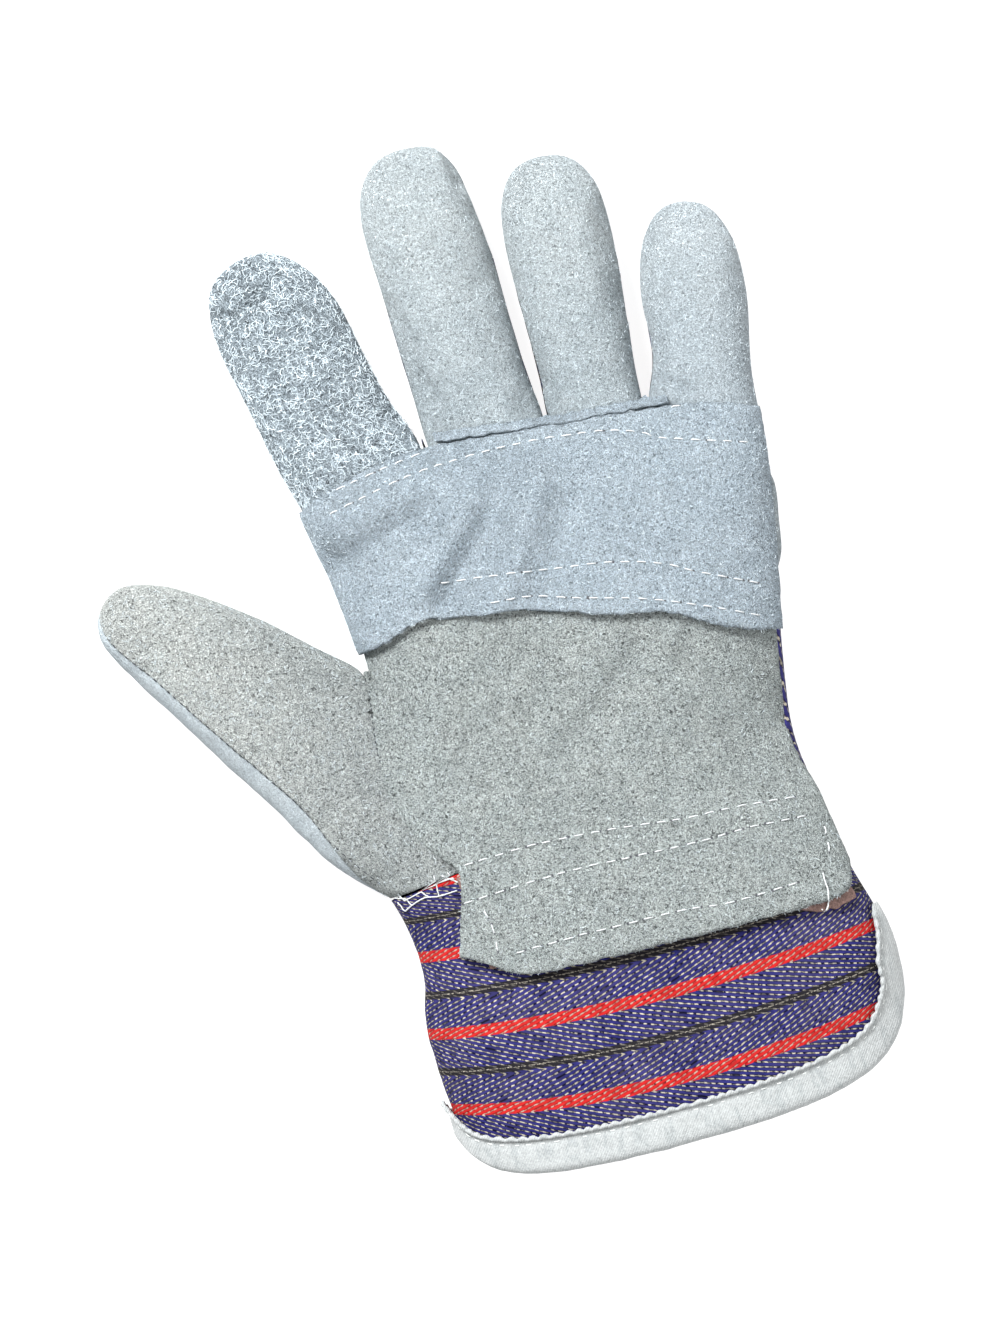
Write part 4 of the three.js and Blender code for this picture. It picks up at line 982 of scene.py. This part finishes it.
class GLOVE_OT_sewing(bpy.types.Operator):
    """Sew the rows of stitches, with their needle holes, and leave the overcast and loose threads"""

    bl_idname = "glove.sewing"
    bl_label = "Sewing"

    def execute(self, context):
        sizes = context.scene.glove_sizes
        rng = np.random.default_rng(7)
        skins = [bpy.data.objects[node + "_skin"] for node in
                 ("palm_leather", "palm_patch", "finger_base_welt", "thumb_front", "cuff", "cuff_stiffener")]
        surface = Surface(skins)
        white = thread("white_thread", (0.62, 0.65, 0.66))
        dark = thread("dark_thread", (0.035, 0.04, 0.05))
        holes = list(LONE_HOLES)
        sets = (("patch_stitches", PATCH_ROWS, 0.15), ("tongue_stitches", TONGUE_ROWS, 0.55))
        for name, rows, shown in sets:
            sewn = []
            for row in rows:
                lines, spots = stitches(surface, row, sizes.pitch / MM, sizes.stitch / MM, 0.22, rng)
                sewn += lines
                holes += [spot for spot in spots if rng.uniform() < shown]
            strands(name, sewn, 0.2, white, 2)
        sewn, _ = stitches(surface, STRIP_SEAM, 2.4, 1.5, 0.02, rng)
        gap = thumb_gap()
        upper = gap[int(0.45 * len(gap)):]
        for start in range(1, len(upper) - 3, 3):
            row = [(*upper[start + k] - (0, 0, deep), 1.0) for k, deep in ((0, 0.25), (1, 0.0), (2, 0.25))]
            sewn.append(row)
        strands("thumb_stitches", sewn, 0.17, dark, 1)
        # The needle holes are painted shade: dark discs, mottled by a noise.
        pit = Nodes("needle_hole")
        hole_shade_mottle = pit.noise(pit.place(), 2.0)
        pit.finish(pit.mix(hole_shade_mottle, (0.03, 0.033, 0.04, 1), (0.09, 0.095, 0.1, 1)), roughness=1)
        hole_discs("needle_holes", surface, holes, 0.36, pit.material, rng)

        overcast = []
        for line in OVERCAST:
            path = smooth_line(line, 0.5)
            ends = [1.0] * len(path)
            heights = [0.18 + 0.12 * math.sin(1.7 * k) for k in range(len(path))]
            overcast.append(surface.laid(path, heights, ends))
        strands("overcast_threads", overcast, 0.19, white, 1)
        path = smooth_line(LOOSE_END, 0.4)
        heights = np.interp(np.arange(len(path)), (0, 4, 12, len(path) - 1), (-0.2, 0.3, 1.2, 0.5))
        hanging = surface.laid(path, heights, [1.0] * len(path))
        strands("loose_thread", [hanging], 0.2, white, 2)
        return {"FINISHED"}


def on_tongue(place):
    """Whether a point lies on the tongue's free edge."""
    return place[1] < -72 and place[2] > 20


def on_patch(place):
    """Whether a point lies on the patch's lower edge."""
    near = line_distance(np.array([place]), PATCH_ROWS[2])[0] < 22
    return near and place[1] < 16 and place[2] > 20


class GLOVE_OT_nap(bpy.types.Operator):
    """Raise loose fibres on the leather and fray its cut edges"""

    bl_idname = "glove.nap"
    bl_label = "Nap"

    def execute(self, context):
        sizes, colours = context.scene.glove_sizes, context.scene.glove_colours
        rng = np.random.default_rng(19)
        hair = Nodes("leather_fibre")
        pale = hair.mix(hair.noise(hair.place(), 0.4), shade(colours.index, 0.95), shade(colours.pale, 1.2))
        hair.finish(pale, roughness=0.9, sheen=0.05)
        index = bpy.data.objects["index_front_skin"].data
        lines = fibres(index, sizes.hairs, 2.6, 0.3, 3.2, rng)
        strands("index_fibres", lines, 0.08, hair.material, 0)
        for node, count, slot in (("palm_patch", 1300, "patch_suede"), ("palm_leather", 1300, "palm_suede"),
                                  ("thumb_front", 700, "palm_suede"), ("ring_front", 400, "pale_suede"),
                                  ("little_front", 350, "patch_suede"), ("middle_front", 350, "pale_suede")):
            lines = fibres(bpy.data.objects[node + "_skin"].data, count, 1.3, 0.25, 3.0, rng)
            strands(node + "_fibres", lines, 0.06, hair.material, 0)
        fuzz = edge_fuzz(bpy.data.objects["palm_leather_skin"].data, 300, 0.8, rng, on_tongue)
        fuzz += edge_fuzz(bpy.data.objects["palm_patch_skin"].data, 260, 0.7, rng, on_patch)
        strands("cut_edge_fibres", fuzz, 0.06, hair.material, 0)
        return {"FINISHED"}


# The lights: name, place and size in metres, power in watts.
LIGHTS = (("key", (-0.55, 1.05, 1.05), 0.6, 66), ("fill", (0.9, -0.5, 1.2), 1.0, 14))

# The camera looks straight down. At the level of the palm its frame is this high, all in millimetres.
VIEW_X, VIEW_Y = -21.1, -19.4
VIEW_LEVEL, VIEW_HEIGHT = 20, 356.4
VIEW_TURN = -13.5
LENS, SENSOR = 135, 36


class GLOVE_OT_stage(bpy.types.Operator):
    """Set the pale floor, the studio lights and the camera"""

    bl_idname = "glove.stage"
    bl_label = "Stage"

    def execute(self, context):
        colours = context.scene.glove_colours
        bm = bmesh.new()
        bmesh.ops.create_grid(bm, x_segments=1, y_segments=1, size=3)
        bmesh.ops.translate(bm, verts=bm.verts[:], vec=(0, 0, -0.1 * MM))
        mesh = bpy.data.meshes.new("floor")
        bm.to_mesh(mesh)
        bm.free()
        floor = bpy.data.objects.new("floor", mesh)
        context.scene.collection.objects.link(floor)
        n = Nodes("floor_paper")
        paper = n.noise(n.place(), 0.8, 2.0)
        n.finish(shade(colours.floor, 0.25), n.bump(paper, 0.02, 0.2), roughness=0.9)
        n.shader.inputs["Emission Color"].default_value = (1, 1, 1, 1)
        n.shader.inputs["Emission Strength"].default_value = 0.9
        mesh.materials.append(n.material)

        world = bpy.data.worlds.new("studio")
        world.use_nodes = True
        world.node_tree.nodes["Background"].inputs["Color"].default_value = (1, 1, 1, 1)
        world.node_tree.nodes["Background"].inputs["Strength"].default_value = 0.78
        context.scene.world = world
        for name, place, size, power in LIGHTS:
            light = bpy.data.lights.new(name, "AREA")
            light.size, light.energy = size, power
            lamp = bpy.data.objects.new(name, light)
            lamp.location = place
            lamp.rotation_euler = (-Vector(place)).to_track_quat("-Z", "Y").to_euler()
            context.scene.collection.objects.link(lamp)
        # Plain display colours, so that the white floor shows white.
        context.scene.view_settings.view_transform = "Standard"

        lens = bpy.data.cameras.new("camera")
        lens.lens, lens.sensor_width = LENS, SENSOR
        lens.clip_start, lens.clip_end = 0.01, 20
        camera = bpy.data.objects.new("camera", lens)
        camera.location = (VIEW_X * MM, VIEW_Y * MM, (VIEW_LEVEL + VIEW_HEIGHT * LENS / SENSOR) * MM)
        camera.rotation_euler = (0, 0, math.radians(VIEW_TURN))
        context.scene.collection.objects.link(camera)
        context.scene.camera = camera
        return {"FINISHED"}


class GLOVE_PT_panel(bpy.types.Panel):
    bl_label = "Rigger glove"
    bl_idname = "GLOVE_PT_panel"
    bl_space_type = "VIEW_3D"
    bl_region_type = "UI"
    bl_category = "Glove"

    def draw(self, context):
        for group in (context.scene.glove_sizes, context.scene.glove_colours):
            for key in group.__annotations__:
                self.layout.prop(group, key)
        for operator in OPERATORS:
            self.layout.operator(operator.bl_idname)


OPERATORS = (GLOVE_OT_leather, GLOVE_OT_drill, GLOVE_OT_tape, GLOVE_OT_sewing, GLOVE_OT_nap, GLOVE_OT_stage)
CLASSES = (GloveSizes, GloveColours, *OPERATORS, GLOVE_PT_panel)


def register():
    for cls in CLASSES:
        bpy.utils.register_class(cls)
    bpy.types.Scene.glove_sizes = PointerProperty(type=GloveSizes)
    bpy.types.Scene.glove_colours = PointerProperty(type=GloveColours)


def unregister():
    del bpy.types.Scene.glove_sizes
    del bpy.types.Scene.glove_colours
    for cls in reversed(CLASSES):
        bpy.utils.unregister_class(cls)


def main():
    register()
    bpy.ops.glove.leather()
    bpy.ops.glove.drill()
    bpy.ops.glove.tape()
    bpy.ops.glove.sewing()
    bpy.ops.glove.nap()
    bpy.ops.glove.stage()


if __name__ == "__main__":
    main()
